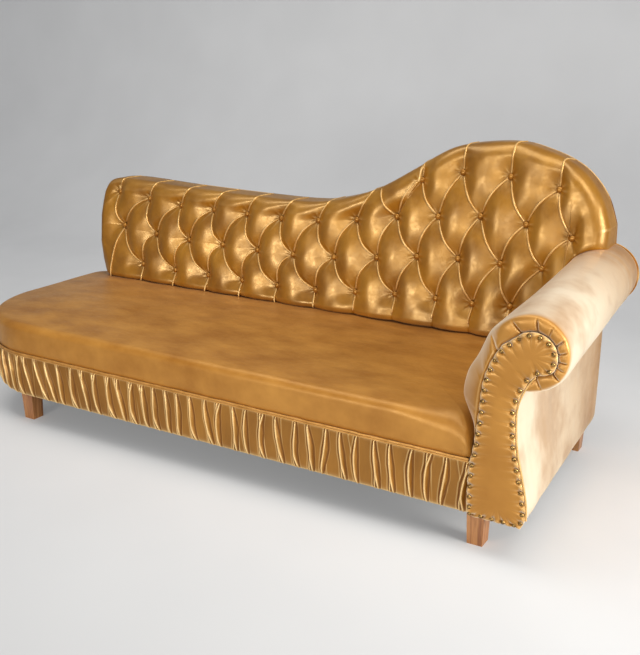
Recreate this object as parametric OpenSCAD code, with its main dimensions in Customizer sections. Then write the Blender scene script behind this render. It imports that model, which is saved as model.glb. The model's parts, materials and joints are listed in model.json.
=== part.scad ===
// Fainting couch: one rolled arm, a serpentine buttoned back and a rounded foot end.
// Lengths are in millimetres. X runs from the foot end to the arm, Y from the front to the back.
// Every piece is drawn from the corner of the base where the foot end meets the front, at floor level.

/* [Base] */
// Length of the base, from the foot end to the outside of the arm's foot
base_length = 2061; // [1800:10:2300]
// Depth of the base frame, from the front of the couch to the face that the back is bolted to
base_depth = 750; // [680:5:850]
// Radius of the front corner at the foot end
front_corner_radius = 340; // [260:10:380]
// Radius of the rear corner at the foot end
rear_corner_radius = 80; // [60:5:110]
// Height of the rails
rail_height = 141; // [110:1:170]
// Thickness of the rails
rail_thickness = 28; // [20:1:36]
// Number of stretchers between the front and rear rails
stretcher_count = 3; // [2:1:5]

/* [Legs] */
// Height of the legs
leg_height = 107; // [80:1:150]
// Width of a leg at its top
leg_top_width = 49; // [40:1:60]
// Width of a leg at the floor
leg_foot_width = 42; // [32:1:48]
// Diameter of the hanger bolts that hold the legs
leg_bolt_diameter = 8; // [6:1:10]
// How far each hanger bolt goes into its leg
leg_bolt_depth = 38; // [25:1:55]

/* [Seat] */
// Height of the seat's front edge above the floor
seat_edge_height = 358; // [320:1:420]
// Rise of the seat's crown above its edge
seat_crown = 19; // [8:1:40]
// Radius of the rounded edge round the top of the seat
seat_edge_radius = 24; // [12:1:40]
// Thickness of the velvet and wadding over the foam
cover_thickness = 8; // [5:1:14]
// Thickness of the webbing straps
webbing_thickness = 2; // [1:0.5:4]
// Width of the webbing straps
webbing_width = 72; // [50:1:90]
// Number of webbing straps from front to rear
cross_strap_count = 9; // [5:1:14]
// Number of webbing straps along the seat
long_strap_count = 4; // [2:1:6]

/* [Gathered band] */
// Spacing of the main folds
fold_spacing = 55; // [45:1:80]
// Depth of the folds
fold_depth = 15; // [6:1:18]
// Diameter of each cord in the double welt above the band
welt_diameter = 6; // [4:0.5:8]

/* [Back] */
// Height of the low part of the back above the floor
low_back_height = 728; // [700:2:800]
// Height of the crest above the floor
crest_height = 954; // [900:2:1040]
// How far the back starts in from the foot end
back_inset = 88; // [60:2:140]
// How far the crest stands out past the inside of the arm
crest_overhang = 114; // [100:1:130]
// Thickness of the frame behind the back
back_frame_thickness = 48; // [36:1:60]
// Thickness of the padding at seat height, before it leans back
back_pad_depth = 110; // [90:1:125]
// Thickness of the foam slab behind the tufted cover
back_foam_thickness = 14; // [10:1:30]
// Angle by which the face of the back leans
back_rake = 8.5; // [3:0.5:9]
// Radius of the rolled top edge of the back
back_roll_radius = 42; // [25:1:50]
// Width of the frame members of the back
back_member_width = 62; // [45:1:80]

/* [Tufting] */
// Distance between the buttons of a row
button_pitch = 148; // [130:1:160]
// Height between the rows of buttons in the low part
row_pitch = 121; // [110:1:135]
// Height of the lowest row above the floor
lowest_row_height = 424; // [415:1:450]
// How far the first button of the lowest row stands in from the foot end of the back
first_button_inset = 212; // [190:2:230]
// How deep the buttons pull the cover in
tuft_depth = 28; // [15:1:32]
// Diameter of a covered button
button_diameter = 23; // [16:1:28]
// Height of a covered button
button_height = 13; // [9:1:16]

/* [Arm] */
// Radius of the arm's roll
roll_radius = 95; // [80:1:105]
// How far the roll's axis stands out past the middle of the arm's foot
roll_offset = 58; // [45:1:70]
// Height of the roll's axis at the front
roll_axis_height = 550; // [520:1:600]
// How much higher the roll's axis is at the rear
roll_rise = 26; // [0:1:40]
// How far the arm turns inwards towards the rear
roll_turn_in = 26; // [0:1:40]
// Thickness of the foam and cover round the roll
arm_pad_thickness = 26; // [15:1:35]
// Width of the arm's foot, seen from the front
arm_foot_width = 151; // [135:1:170]
// Height of the scroll facing above the legs
facing_height = 499; // [470:1:540]
// Radius of the head of the scroll facing
facing_head_radius = 58; // [48:1:66]
// Thickness of the scroll facing
facing_thickness = 9; // [6:1:14]
// Thickness of the outside panels
panel_thickness = 6; // [4:1:9]

/* [Nailheads] */
// Diameter of the decorative nails
nail_diameter = 10.5; // [8:0.5:13]
// Distance between the nails
nail_spacing = 28.5; // [20:0.5:40]
// How far in from the facing's edge the nails stand
nail_inset = 8; // [6:0.5:12]

/* [Hidden] */
$fn = 48;

velvet = [0.69, 0.47, 0.21];
velvet_dark = [0.58, 0.37, 0.14];
leg_wood = [0.62, 0.36, 0.17];
frame_wood = [0.82, 0.68, 0.47];
foam_colour = [0.93, 0.88, 0.66];
jute = [0.72, 0.62, 0.42];
brass = [0.62, 0.46, 0.18];
steel = [0.62, 0.63, 0.65];
black_cloth = [0.08, 0.08, 0.09];

// Clearance between soft pieces and their neighbours
gap = 0.3;
// Overrun of every cut
cut = 1;
// Distance from the outside of the couch to the outside of the rails, filled by the band
band_room = 21;

rail_bottom = leg_height;
rail_top = leg_height + rail_height;
deck_height = rail_top + 2 * webbing_thickness;
back_face = base_depth;
back_rear = base_depth + back_frame_thickness;
couch_rear = back_rear + panel_thickness;
facing_left = base_length - arm_foot_width;
arm_inside = facing_left + band_room - cover_thickness;
arm_rail_x = arm_inside + band_room;
roll_x = base_length - arm_foot_width / 2 + roll_offset;
facing_top = leg_height + facing_height;
seat_right = arm_inside - gap;
nail_height = nail_diameter / 3;

// Middle of the couch's box, which is put over the origin
middle_x = (roll_x + roll_radius) / 2;
middle_y = (couch_rear - nail_height) / 2;

function mix(a, b, t) = a + (b - a) * t;
function clamp(t, low, high) = min(max(t, low), high);
function ease(t) = let (s = clamp(t, 0, 1)) s * s * (3 - 2 * s);
function flatten(lists) = [for (list = lists) for (item = list) item];

// Smooth curve through a list of points, with the given number of steps between two of them
function spline(p, steps) = [
    for (i = [0:len(p) - 2], k = [0:steps - 1])
        let (
            a = p[max(i - 1, 0)],
            b = p[i],
            c = p[i + 1],
            d = p[min(i + 2, len(p) - 1)],
            t = k / steps
        )
        0.5 * (2 * b + (c - a) * t + (2 * a - 5 * b + 4 * c - d) * t * t
               + (3 * b - a - 3 * c + d) * t * t * t),
    p[len(p) - 1]
];

// Triangles of a tube of rings with the same number of points, first ring at index 0
function ring_faces(count, rings) = [
    for (r = [0:rings - 2], i = [0:count - 1])
        let (
            a = r * count + i,
            b = r * count + (i + 1) % count,
            c = a + count,
            d = b + count
        )
        each [[a, c, b], [b, c, d]]
];

module placed() {
    translate([-middle_x, -middle_y, 0])
        children();
}

module board(x, y, z, size) {
    translate([x, y, z])
        cube(size);
}

// Plan of the base, inset from its outline, up to a right-hand end
module base_plan(inset, right) {
    front = front_corner_radius;
    rear = rear_corner_radius;
    polygon([
        [front, inset],
        [right, inset],
        [right, base_depth - inset],
        [rear, base_depth - inset],
        [inset, base_depth - rear],
        [inset, front]
    ]);
    translate([front, front])
        circle(r = front - inset, $fn = 96);
    translate([rear, base_depth - rear])
        circle(r = rear - inset);
}

/* Base frame */
rail_inside = band_room + rail_thickness;

module front_rail() {
    color(frame_wood)
        board(front_corner_radius, band_room, rail_bottom,
              [arm_rail_x - front_corner_radius, rail_thickness, rail_height]);
}

module corner_rail() {
    color(frame_wood)
        translate([front_corner_radius, front_corner_radius, rail_bottom])
            rotate([0, 0, 180])
                rotate_extrude(angle = 90, $fn = 96)
                    translate([front_corner_radius - rail_inside, 0])
                        square([rail_thickness, rail_height]);
}

module foot_rail() {
    color(frame_wood)
        board(band_room, front_corner_radius, rail_bottom,
              [rail_thickness, base_depth - front_corner_radius - rear_corner_radius, rail_height]);
}

module rear_rail() {
    rear = rear_corner_radius;
    color(frame_wood) {
        board(rear, base_depth - rail_thickness, rail_bottom,
              [arm_rail_x - rear, rail_thickness, rail_height]);
        translate([rear, base_depth - rear, rail_bottom])
            rotate([0, 0, 90])
                rotate_extrude(angle = 90)
                    translate([rear - rail_inside, 0])
                        square([rail_thickness, rail_height]);
    }
}

module arm_rail() {
    color(frame_wood)
        board(arm_rail_x, band_room, rail_bottom, [rail_thickness, base_depth - band_room, rail_height]);
}

stretcher_height_share = 0.62;

module seat_stretchers() {
    span = arm_inside - front_corner_radius;
    color(frame_wood)
        for (i = [1:stretcher_count])
            board(front_corner_radius + span * i / (stretcher_count + 1), rail_inside, rail_bottom,
                  [rail_thickness, base_depth - rail_inside - rail_thickness,
                   rail_height * stretcher_height_share]);
}

/* Legs, with the blocks and hardware that hold them */
front_leg_y = rail_inside + leg_top_width / 2;
rear_leg_y = base_depth + back_frame_thickness / 2;
left_leg_x = front_corner_radius - leg_top_width;
right_leg_x = arm_rail_x - leg_top_width / 2;
rear_left_leg_x = back_inset + back_member_width / 2 + rail_thickness;
rear_right_leg_x = arm_rail_x + rail_thickness;
leg_places = [
    [left_leg_x, front_leg_y],
    [right_leg_x, front_leg_y],
    [rear_left_leg_x, rear_leg_y],
    [rear_right_leg_x, rear_leg_y]
];
block_height_share = 0.45;
block_height = rail_height * block_height_share;
tee_nut_flange_share = 2.6;
tee_nut_flange = leg_bolt_diameter * tee_nut_flange_share;
tee_nut_barrel_share = 1.4;
tee_nut_barrel = leg_bolt_diameter * tee_nut_barrel_share;
tee_nut_thickness = 1.6;
bolt_top = rail_bottom + block_height - tee_nut_thickness;
thread_gap = 0.2;

module bolt_hole(diameter, bottom, top) {
    translate([0, 0, bottom])
        cylinder(d = diameter, h = top - bottom);
}

module leg_taper() {
    half_top = leg_top_width / 2;
    half_foot = leg_foot_width / 2;
    translate([0, half_top, 0])
        rotate([90, 0, 0])
            linear_extrude(leg_top_width)
                polygon([[-half_foot, 0], [half_foot, 0], [half_top, leg_height], [-half_top, leg_height]]);
}

module leg(place) {
    color(leg_wood)
        translate([place[0], place[1], 0])
            difference() {
                intersection() {
                    leg_taper();
                    rotate([0, 0, 90])
                        leg_taper();
                }
                bolt_hole(leg_bolt_diameter + thread_gap, leg_height - leg_bolt_depth, leg_height + cut);
            }
}

module leg_front_left() {
    leg(leg_places[0]);
}

module leg_front_right() {
    leg(leg_places[1]);
}

module leg_rear_left() {
    leg(leg_places[2]);
}

module leg_rear_right() {
    leg(leg_places[3]);
}

// A block over each front leg; the rear legs bolt into the bottom rail of the back
module leg_block(place) {
    difference() {
        board(place[0] - leg_top_width / 2, rail_inside, rail_bottom,
              [leg_top_width, leg_top_width, block_height]);
        translate([place[0], place[1], 0])
            leg_socket();
    }
}

// The left block is shaped to the inside of the rounded corner
module leg_blocks() {
    color(frame_wood) {
        intersection() {
            leg_block(leg_places[0]);
            translate([front_corner_radius, front_corner_radius, 0])
                cylinder(r = front_corner_radius - rail_inside, h = rail_top, $fn = 96);
        }
        leg_block(leg_places[1]);
    }
}

module leg_socket() {
    bolt_hole(tee_nut_barrel + thread_gap, rail_bottom - cut, rail_bottom + block_height - tee_nut_thickness);
    bolt_hole(tee_nut_flange + thread_gap, rail_bottom + block_height - tee_nut_thickness,
              rail_bottom + block_height + cut);
}

module leg_bolts() {
    color(steel)
        for (place = leg_places)
            translate([place[0], place[1], 0])
                bolt_hole(leg_bolt_diameter, leg_height - leg_bolt_depth, bolt_top);
}

module tee_nuts() {
    bottom = rail_bottom + block_height / 2;
    color(steel)
        for (place = leg_places)
            translate([place[0], place[1], 0])
                difference() {
                    union() {
                        bolt_hole(tee_nut_barrel, bottom, rail_bottom + block_height);
                        bolt_hole(tee_nut_flange, rail_bottom + block_height - tee_nut_thickness,
                                  rail_bottom + block_height);
                    }
                    bolt_hole(leg_bolt_diameter + thread_gap, bottom - cut, rail_bottom + block_height + cut);
                }
}

dust_cover_thickness = 1;
leg_hole = leg_top_width + 2 * gap;

module dust_cover() {
    color(black_cloth)
        translate([0, 0, rail_bottom - dust_cover_thickness])
            difference() {
                linear_extrude(dust_cover_thickness)
                    base_plan(band_room + dust_cover_thickness, arm_rail_x + rail_thickness);
                for (i = [0:1])
                    translate([leg_places[i][0], leg_places[i][1], dust_cover_thickness / 2])
                        cube([leg_hole, leg_hole, dust_cover_thickness + 2 * cut], center = true);
            }
}

/* Seat */
module cross_webbing() {
    first = front_corner_radius;
    last = arm_inside - webbing_width;
    color(jute)
        for (i = [0:cross_strap_count - 1])
            board(mix(first, last, i / (cross_strap_count - 1)), band_room, rail_top,
                  [webbing_width, base_depth - band_room, webbing_thickness]);
}

module long_webbing() {
    first = front_corner_radius;
    last = base_depth - rear_corner_radius - webbing_width;
    color(jute)
        for (i = [0:long_strap_count - 1])
            board(band_room, mix(first, last, i / (long_strap_count - 1)), rail_top + webbing_thickness,
                  [arm_rail_x + rail_thickness - gap - band_room, webbing_width, webbing_thickness]);
}

foam_top = seat_edge_height - cover_thickness;
foam_inset = 3 * cover_thickness;

module seat_foam() {
    color(foam_colour)
        translate([0, 0, deck_height + gap])
            linear_extrude(foam_top - deck_height - 2 * gap)
                polygon(seat_ring(foam_inset + gap));
}

// Outline of the seat as a ring of points, drawn in by an inset
seat_end_radius = 46;
corner_steps = 10;

function arc_points(centre, radius, from, to, steps) = [
    for (k = [0:steps])
        centre + radius * [cos(mix(from, to, k / steps)), sin(mix(from, to, k / steps))]
];

function seat_ring(inset) =
    let (
        front = front_corner_radius,
        rear = rear_corner_radius,
        end = seat_end_radius
    )
    concat(
        arc_points([front, front], front - inset, 270, 180, corner_steps),
        arc_points([rear, base_depth - rear], rear - inset, 180, 90, corner_steps / 2),
        arc_points([seat_right - end, base_depth - end], end - inset, 90, 0, corner_steps / 2),
        arc_points([seat_right - end, end], end - inset, 0, -90, corner_steps / 2)
    );

// A ring drawn further in, towards the seat's long middle line, by a share of the way
function seat_inner_ring(inset, share) = [
    for (p = seat_ring(inset))
        let (
            half = base_depth / 2,
            target = [clamp(p[0], half, seat_right - half), half]
        )
        mix(p, target, share)
];

cover_bottom = rail_top + 2 * welt_diameter + gap;
// Inset of the seat's side as shares of the cover's thickness, from the welt up to the rounded edge
side_inset_shares = [2.4, 1.5, 1.15, 1.1];
crown_shares = [0.1, 0.22, 0.38, 0.56, 0.76, 0.94];

function seat_side_rings() =
    let (
        last = len(side_inset_shares) - 1,
        top = seat_edge_height - seat_edge_radius
    )
    [
        for (i = [0:last])
            [
                for (p = seat_ring(cover_thickness * side_inset_shares[i]))
                    [p[0], p[1], mix(cover_bottom, top, i / last)]
            ]
    ];

function seat_edge_rings() =
    let (
        inset = cover_thickness * side_inset_shares[len(side_inset_shares) - 1],
        steps = 4
    )
    [
        for (k = [1:steps])
            let (a = 75 * k / steps)
            [
                for (p = seat_ring(inset + seat_edge_radius * (1 - cos(a))))
                    [p[0], p[1], seat_edge_height - seat_edge_radius * (1 - sin(a))]
            ]
    ];

function seat_crown_rings() =
    let (
        inset = cover_thickness + seat_edge_radius * (1 - cos(75)),
        base = seat_edge_height - seat_edge_radius * (1 - sin(75))
    )
    [
        for (s = crown_shares)
            [for (p = seat_inner_ring(inset, s)) [p[0], p[1], base + seat_crown * sin(90 * s)]]
    ];

module seat_cover() {
    outer = concat(seat_side_rings(), seat_edge_rings(), seat_crown_rings());
    hollow = [
        [for (p = seat_ring(foam_inset)) [p[0], p[1], foam_top]],
        [for (p = seat_ring(foam_inset)) [p[0], p[1], cover_bottom]]
    ];
    count = len(outer[0]);
    rings = len(outer);
    crown_point = [seat_right / 2, base_depth / 2, outer[rings - 1][0][2]];
    roof_point = [seat_right / 2, base_depth / 2, foam_top];
    // The rings run from the hollow's roof down, round the bottom and up to the crown
    points = concat([roof_point], flatten(hollow), flatten(outer), [crown_point]);
    total = 2 + rings;
    last = len(points) - 1;
    faces = concat(
        [for (i = [0:count - 1]) [0, 1 + i, 1 + (i + 1) % count]],
        [for (f = ring_faces(count, total)) [f[0] + 1, f[1] + 1, f[2] + 1]],
        [for (i = [0:count - 1]) [last, last - count + (i + 1) % count, last - count + i]]
    );
    color(velvet)
        polyhedron(points = points, faces = faces, convexity = 6);
}

/* Gathered band and the double welt above it */
band_right = facing_left - gap;
front_run = band_right - front_corner_radius;
front_arc_run = PI / 2 * front_corner_radius;
foot_run = base_depth - front_corner_radius - rear_corner_radius;
rear_arc_run = PI / 2 * rear_corner_radius;
band_run = front_run + front_arc_run + foot_run + rear_arc_run;

// Point on the base's outline at a distance along it from the arm, moved inwards by an inset
function outline_point(s, inset) =
    let (
        front = front_corner_radius,
        rear = rear_corner_radius,
        s1 = s - front_run,
        s2 = s1 - front_arc_run,
        s3 = s2 - foot_run,
        a = 90 * s1 / front_arc_run,
        b = 90 * s3 / rear_arc_run
    )
    s1 <= 0 ? [band_right - s, inset]
    : s2 <= 0 ? [front - (front - inset) * sin(a), front - (front - inset) * cos(a)]
    : s3 <= 0 ? [inset, front + s2]
    : [rear - (rear - inset) * cos(b), base_depth - rear + (rear - inset) * sin(b)];

// Height shares of the band's rows from its top, and how far each row stands back and folds
band_row_shares = [0, 0.22, 0.6, 0.88, 1];
band_back_shares = [0.5, 0.22, 0, 0.3, 0.8];
band_fold_shares = [0.25, 0.85, 1, 0.9, 0.4];
fold_profile_shares = [1, 0, 0.62];
fold_lean_share = 0.55;

module gathered_band() {
    folds = round(band_run / fold_spacing);
    columns = folds * len(fold_profile_shares);
    step = band_run / columns;
    top = rail_top - gap;
    bottom = rail_bottom + gap;
    lean = fold_lean_share * fold_spacing;
    columns_points = [
        for (c = [0:columns])
            let (
                swing = 0.35 + 0.25 * sin(c * 97) + ease(c * step / front_run) * 0.4,
                free = sin(180 * c / columns) > 0 ? 1 : 0,
                depth = fold_depth * (0.82 + 0.18 * sin(c * 137))
            )
            concat(
                [
                    for (r = [0:len(band_row_shares) - 1])
                        let (
                            t = band_row_shares[r],
                            fold = fold_profile_shares[c % len(fold_profile_shares)],
                            s = clamp(c * step - free * lean * swing * (t - 0.5), 0, band_run),
                            inset = (band_room - fold_depth) * band_back_shares[r]
                                + depth * fold * band_fold_shares[r] + (fold_depth - depth) * 0.5,
                            p = outline_point(s, inset)
                        )
                        [p[0], p[1], mix(top, bottom, t)]
                ],
                [
                    let (p = outline_point(c * step, band_room - gap)) [p[0], p[1], bottom],
                    let (p = outline_point(c * step, band_room - gap)) [p[0], p[1], top]
                ]
            )
    ];
    count = len(columns_points[0]);
    body = ring_faces(count, columns + 1);
    start_cap = [for (i = [1:count - 2]) [0, i, i + 1]];
    end_first = columns * count;
    end_cap = [for (i = [1:count - 2]) [end_first, end_first + i + 1, end_first + i]];
    color(velvet_dark)
        polyhedron(points = flatten(columns_points), faces = concat(body, start_cap, end_cap),
                   convexity = 10);
}

module welt_cord(height) {
    inset = welt_diameter * 0.8;
    front = front_corner_radius;
    rear = rear_corner_radius;
    translate([front, inset, height])
        rotate([0, 90, 0])
            cylinder(d = welt_diameter, h = front_run, $fn = 24);
    translate([front, front, height])
        rotate([0, 0, 180])
            rotate_extrude(angle = 90, $fn = 96)
                translate([front - inset, 0])
                    circle(d = welt_diameter, $fn = 24);
    translate([inset, front, height])
        rotate([-90, 0, 0])
            cylinder(d = welt_diameter, h = foot_run, $fn = 24);
    translate([rear, base_depth - rear, height])
        rotate([0, 0, 90])
            rotate_extrude(angle = 90)
                translate([rear - inset, 0])
                    circle(d = welt_diameter, $fn = 24);
}

welt_overlap_share = 0.9;

module double_welt() {
    low = rail_top + gap + welt_diameter / 2;
    color(velvet_dark) {
        welt_cord(low);
        welt_cord(low + welt_diameter * welt_overlap_share);
    }
}

/* Back: outline shared by its frame, foam, cover and outside panel */
back_left = back_inset;
crest_right = arm_inside + crest_overhang;
back_width = crest_right - back_left;
crest_rise = crest_height - low_back_height;
roll_rear = [roll_x - roll_turn_in, roll_axis_height + roll_rise];
roll_clearance = 5;
pad_bottom = seat_edge_height + seat_crown;
pad_side_share = 1.68;
pad_side = roll_x - pad_side_share * roll_radius;
// Stations of the serpentine top, as shares of the back's width and of the crest's rise
top_shares = [
    [0, -0.3], [0.005, -0.12], [0.02, 0.03], [0.052, 0.07], [0.11, 0.06], [0.2, 0.02], [0.36, -0.02],
    [0.48, -0.025], [0.54, 0.05], [0.61, 0.24], [0.675, 0.55], [0.715, 0.765], [0.75, 0.905], [0.8, 0.98],
    [0.85, 0.995], [0.89, 0.92], [0.93, 0.79], [0.96, 0.61], [0.985, 0.33], [1, -0.02]
];
top_curve = spline([
    for (s = top_shares) [back_left + back_width * s[0], low_back_height + crest_rise * s[1]]
], 4);

// Angles round the arm's roll between which the back rests on it
roll_meeting_angles = [80, 172];

// The back's outline from a lower edge, up the foot side, over the top and round the arm's roll
function back_outline(bottom) = concat(
    [[back_left, bottom]],
    top_curve,
    arc_points(roll_rear, roll_radius + roll_clearance, roll_meeting_angles[0], roll_meeting_angles[1], 10),
    [[pad_side, roll_rear[1] - roll_radius], [pad_side, bottom]]
);

// A plate in the back's outline, from a front face to a thickness behind it
module back_plate(front, thickness, inset, bottom) {
    translate([0, front + thickness, 0])
        rotate([90, 0, 0])
            linear_extrude(thickness)
                offset(delta = -inset)
                    polygon(back_outline(bottom - inset));
}

/* Back frame */
frame_setback = 12;
rail_ring_bottom = low_back_height - 1.5 * back_member_width;
post_bottom = rail_bottom + block_height;
bottom_rail_right = roll_rear[0] - panel_thickness;

module post(x) {
    board(x, back_face, post_bottom,
          [back_member_width, back_frame_thickness, rail_ring_bottom - post_bottom]);
}

module back_bottom_rail() {
    color(frame_wood)
        difference() {
            board(back_left + frame_setback, back_face, rail_bottom,
                  [bottom_rail_right - back_left - frame_setback, back_frame_thickness, block_height]);
            for (i = [2:3])
                translate([leg_places[i][0], leg_places[i][1], 0])
                    leg_socket();
        }
}

module back_post_left() {
    color(frame_wood)
        post(back_left + frame_setback);
}

module back_post_right() {
    color(frame_wood)
        post(pad_side - frame_setback - back_member_width);
}

stud_shares = [0.33, 0.66];

module back_studs() {
    color(frame_wood)
        for (s = stud_shares)
            post(mix(back_left, pad_side, s));
}

module back_top_rail() {
    color(frame_wood)
        intersection() {
            difference() {
                back_plate(back_face, back_frame_thickness, frame_setback, pad_bottom);
                back_plate(back_face - cut, back_frame_thickness + 2 * cut,
                           frame_setback + back_member_width, pad_bottom);
            }
            board(back_left, back_face, rail_ring_bottom,
                  [back_width, back_frame_thickness, crest_height - rail_ring_bottom]);
        }
}

back_strap_shares = [0.1, 0.5, 0.9];

module back_webbing() {
    strap = webbing_width * 0.7;
    left = back_left + frame_setback;
    color(jute)
        for (s = back_strap_shares)
            board(left, back_face - webbing_thickness, mix(pad_bottom, rail_ring_bottom - strap, s),
                  [pad_side - frame_setback - left, webbing_thickness, strap]);
}

/* Back padding: foam, tufted cover and its buttons */
foam_front = back_face - webbing_thickness - back_foam_thickness;
foam_setback = 28;

module back_foam() {
    color(foam_colour)
        back_plate(foam_front, back_foam_thickness - gap, foam_setback, pad_bottom + foam_setback);
}

pad_rear = foam_front - gap;
pad_front = pad_rear - back_pad_depth;
first_column = back_left + first_button_inset;
column_spread_share = 0.008;
crest_row_lift = 35;
crest_row_stretch = 10;
foot_row_lift = 26;
steps_per_cell = 4;
first_cell = -1;
last_cell = 12;
first_row = -0.5;
last_row = 3.75;
low_top_row = 2;
crest_top_row = 3;
crest_start = mix(back_left, crest_right, 0.672);

// Drift of each row's buttons from the even lattice, by column: across as shares of the pitch, up as
// shares of the row pitch, as a hand-tufted back has it
across_shares = [
    [[0, 0.05], [4, 0.03], [6, 0.13], [8, 0.15], [10, -0.07]],
    [[-0.5, -0.1], [4.5, -0.1], [6.5, 0.1], [9.5, 0.09], [10.5, 0.05]],
    [[-1, 0.24], [0, 0.17], [2, 0.1], [4, 0.01], [9, 0.03], [11, 0.13], [12, 0]],
    [[7.5, 0.06], [8.5, 0.02], [9.5, 0.12], [10.5, 0.22], [12, 0]]
];
up_shares = [
    [[0, 0.04], [1, 0], [9, 0], [10, 0.08]],
    [[-0.5, 0.1], [0.5, 0], [6.5, -0.1], [7.5, -0.04], [8.5, 0.02]],
    [[-1, 0.04], [0, 0], [6, -0.1], [8, -0.04], [9, 0.06], [10, -0.04], [11, -0.26]],
    [[7.5, -0.2], [8.5, 0.03], [9.5, 0.01], [10.5, -0.22]]
];
function drift(shares, c, r) =
    let (row = clamp(floor(r), 0, len(shares) - 2))
    mix(lookup(c, shares[row]), lookup(c, shares[row + 1]), clamp(r - row, 0, 1));

// Place of a column and height of a row of the diamond lattice; the lowest row stands on whole columns
function column_x(c, r) = first_column
    + button_pitch * (c + column_spread_share * c * (10 - c) + drift(across_shares, c, r));
function crest_share(x) = ease((x - mix(back_left, crest_right, 0.434)) / (back_width * 0.303));
function foot_share(x) = 1 - ease((x - back_left) / (3 * button_pitch));
function row_height(c, r, x) = lowest_row_height + crest_share(x) * crest_row_lift
    + r * (row_pitch + crest_share(x) * crest_row_stretch) + foot_share(x) * foot_row_lift * r / 2
    + row_pitch * drift(up_shares, c, r);
function face_y(z) = pad_front + (z - pad_bottom) * tan(back_rake);
function top_row(x) = x < crest_start ? low_top_row : crest_top_row;

// Share of the tuft's depth at a place of the lattice: 1 in a button, 0 in the middle of a diamond
function diamond_dip(c, r) =
    let (
        u = abs(sin(180 * (c + r / 2))),
        v = abs(sin(180 * (c - r / 2)))
    )
    1 - 0.45 * pow(u * v, 0.6) - 0.55 * pow(max(u, v), 0.7);

function pleat_dip(c, row, away) =
    (1 - pow(abs(sin(180 * (c - row / 2))), 0.6)) * 0.6 * (1 - min(away, 1) * 0.4);

function dip(c, r, top) = r < 0 ? mix(diamond_dip(c, 0), pleat_dip(c, 0, -r), min(-4 * r, 1))
    : r > top ? mix(diamond_dip(c, top), pleat_dip(c, top, r - top), min(4 * (r - top), 1))
    : diamond_dip(c, r);

// How far the rolled edge falls back at a distance inside the outline
function roll_back(d) = back_roll_radius
    - sqrt(pow(back_roll_radius, 2) - pow(back_roll_radius - clamp(d, 0, back_roll_radius), 2));
probe = 4;
function edge_distance(x, z) =
    let (
        slope = (lookup(x + probe, top_curve) - lookup(x - probe, top_curve)) / (2 * probe),
        below = (lookup(x, top_curve) - z) / sqrt(1 + slope * slope)
    )
    min(below, x - back_left);

least_pad = 4;
spill = 60;
fall_share = 0.35;

// Lowest height of the padding at a place along the couch, over the arm's roll and the seat
function pad_floor(x) =
    let (
        reach = roll_radius + roll_clearance,
        off = clamp(x - roll_rear[0], -reach, reach)
    )
    x > pad_side + probe ? roll_rear[1] + sqrt(reach * reach - off * off) : pad_bottom;

// Height of the underside of the cover's lip, which laps over the top rail
lip_share = 0.7;
function lip_height(x) =
    let (slope = (lookup(x + probe, top_curve) - lookup(x - probe, top_curve)) / (2 * probe))
    lookup(x, top_curve) - lip_share * frame_setback * sqrt(1 + min(slope * slope, 9));

// Point of the padding's front; beyond its outline the point moves back along the edge
function pad_point(c, r, x, at_end) =
    let (
        raw = r == first_row ? pad_bottom : r == last_row ? crest_height + spill : row_height(c, r, x),
        z = clamp(raw, pad_floor(x), lookup(x, top_curve)),
        tuft = at_end ? 0 : tuft_depth * dip(c, r, top_row(x)),
        front = face_y(z) + tuft + roll_back(edge_distance(x, z)),
        y = min(front, pad_rear - least_pad),
        over = abs(raw - z),
        stop = raw > z ? back_rear - least_pad : pad_rear - least_pad / 2
    )
    [x, mix(y, stop, fall_share * over / (over + spill)), z];

cell_rows = (last_row - first_row) * steps_per_cell;
whole_columns = (last_cell - first_cell) * steps_per_cell;
// Extra columns that follow the rounded corners, as shares of the way to and from the even columns
foot_shares = [0, 0.25];
arm_shares = [0.7, 1];
column_count = len(foot_shares) + whole_columns + len(arm_shares);

// Front of the padding, with every second row shifted so that its points lie on the pleats
function pad_rows() = [
    for (k = [0:cell_rows])
        let (
            r = first_row + k / steps_per_cell,
            shift = (k % 2) / 2 / steps_per_cell,
            low = first_cell + shift,
            high = last_cell - 1 / steps_per_cell + shift
        )
        concat(
            [for (t = foot_shares) pad_point(low, r, mix(back_left, column_x(low, r), t), t == 0)],
            [
                for (i = [0:whole_columns - 1])
                    let (c = low + i / steps_per_cell)
                    pad_point(c, r, column_x(c, r), false)
            ],
            [for (t = arm_shares) pad_point(high, r, mix(column_x(high, r), crest_right, t), t == 1)]
        )
];

// Triangles that close an end of the padding, as a fan from the inner corner of the lip
function end_faces(column, count, rows, flip) =
    let (hub = rows - 2)
    [
        for (j = [1:rows - 2])
            let (
                a = hub * count + column,
                b = (hub + j) % rows * count + column,
                c = (hub + j + 1) % rows * count + column
            )
            flip ? [a, c, b] : [a, b, c]
    ];

module back_pad() {
    count = column_count;
    front = pad_rows();
    rows = concat(
        front,
        [
            [for (p = front[cell_rows]) [p[0], back_rear - gap, p[2]]],
            [for (p = front[cell_rows]) [p[0], back_rear - gap, lip_height(p[0])]],
            [for (p = front[cell_rows]) [p[0], pad_rear, lip_height(p[0])]],
            [for (p = front[0]) [p[0], pad_rear, p[2]]]
        ]
    );
    total = len(rows);
    faces = concat(
        [
            for (k = [0:total - 1], i = [0:count - 2])
                let (a = k * count + i, b = a + 1, c = ((k + 1) % total) * count + i, d = c + 1)
                each (k % 2 == 1 && k < cell_rows ? [[a, d, b], [a, c, d]] : [[a, c, b], [b, c, d]])
        ],
        end_faces(0, count, total, true),
        end_faces(count - 1, count, total, false)
    );
    color(velvet)
        polyhedron(points = flatten(rows), faces = faces, convexity = 10);
}

button_lift_share = 0.5;
shank_share = 0.14;

// Lattice places of the buttons, one entry for a row: row, first column and number of buttons
button_rows = [[0, 0, 11], [1, -0.5, 12], [2, -1, 13], [3, 7.5, 4]];

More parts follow.
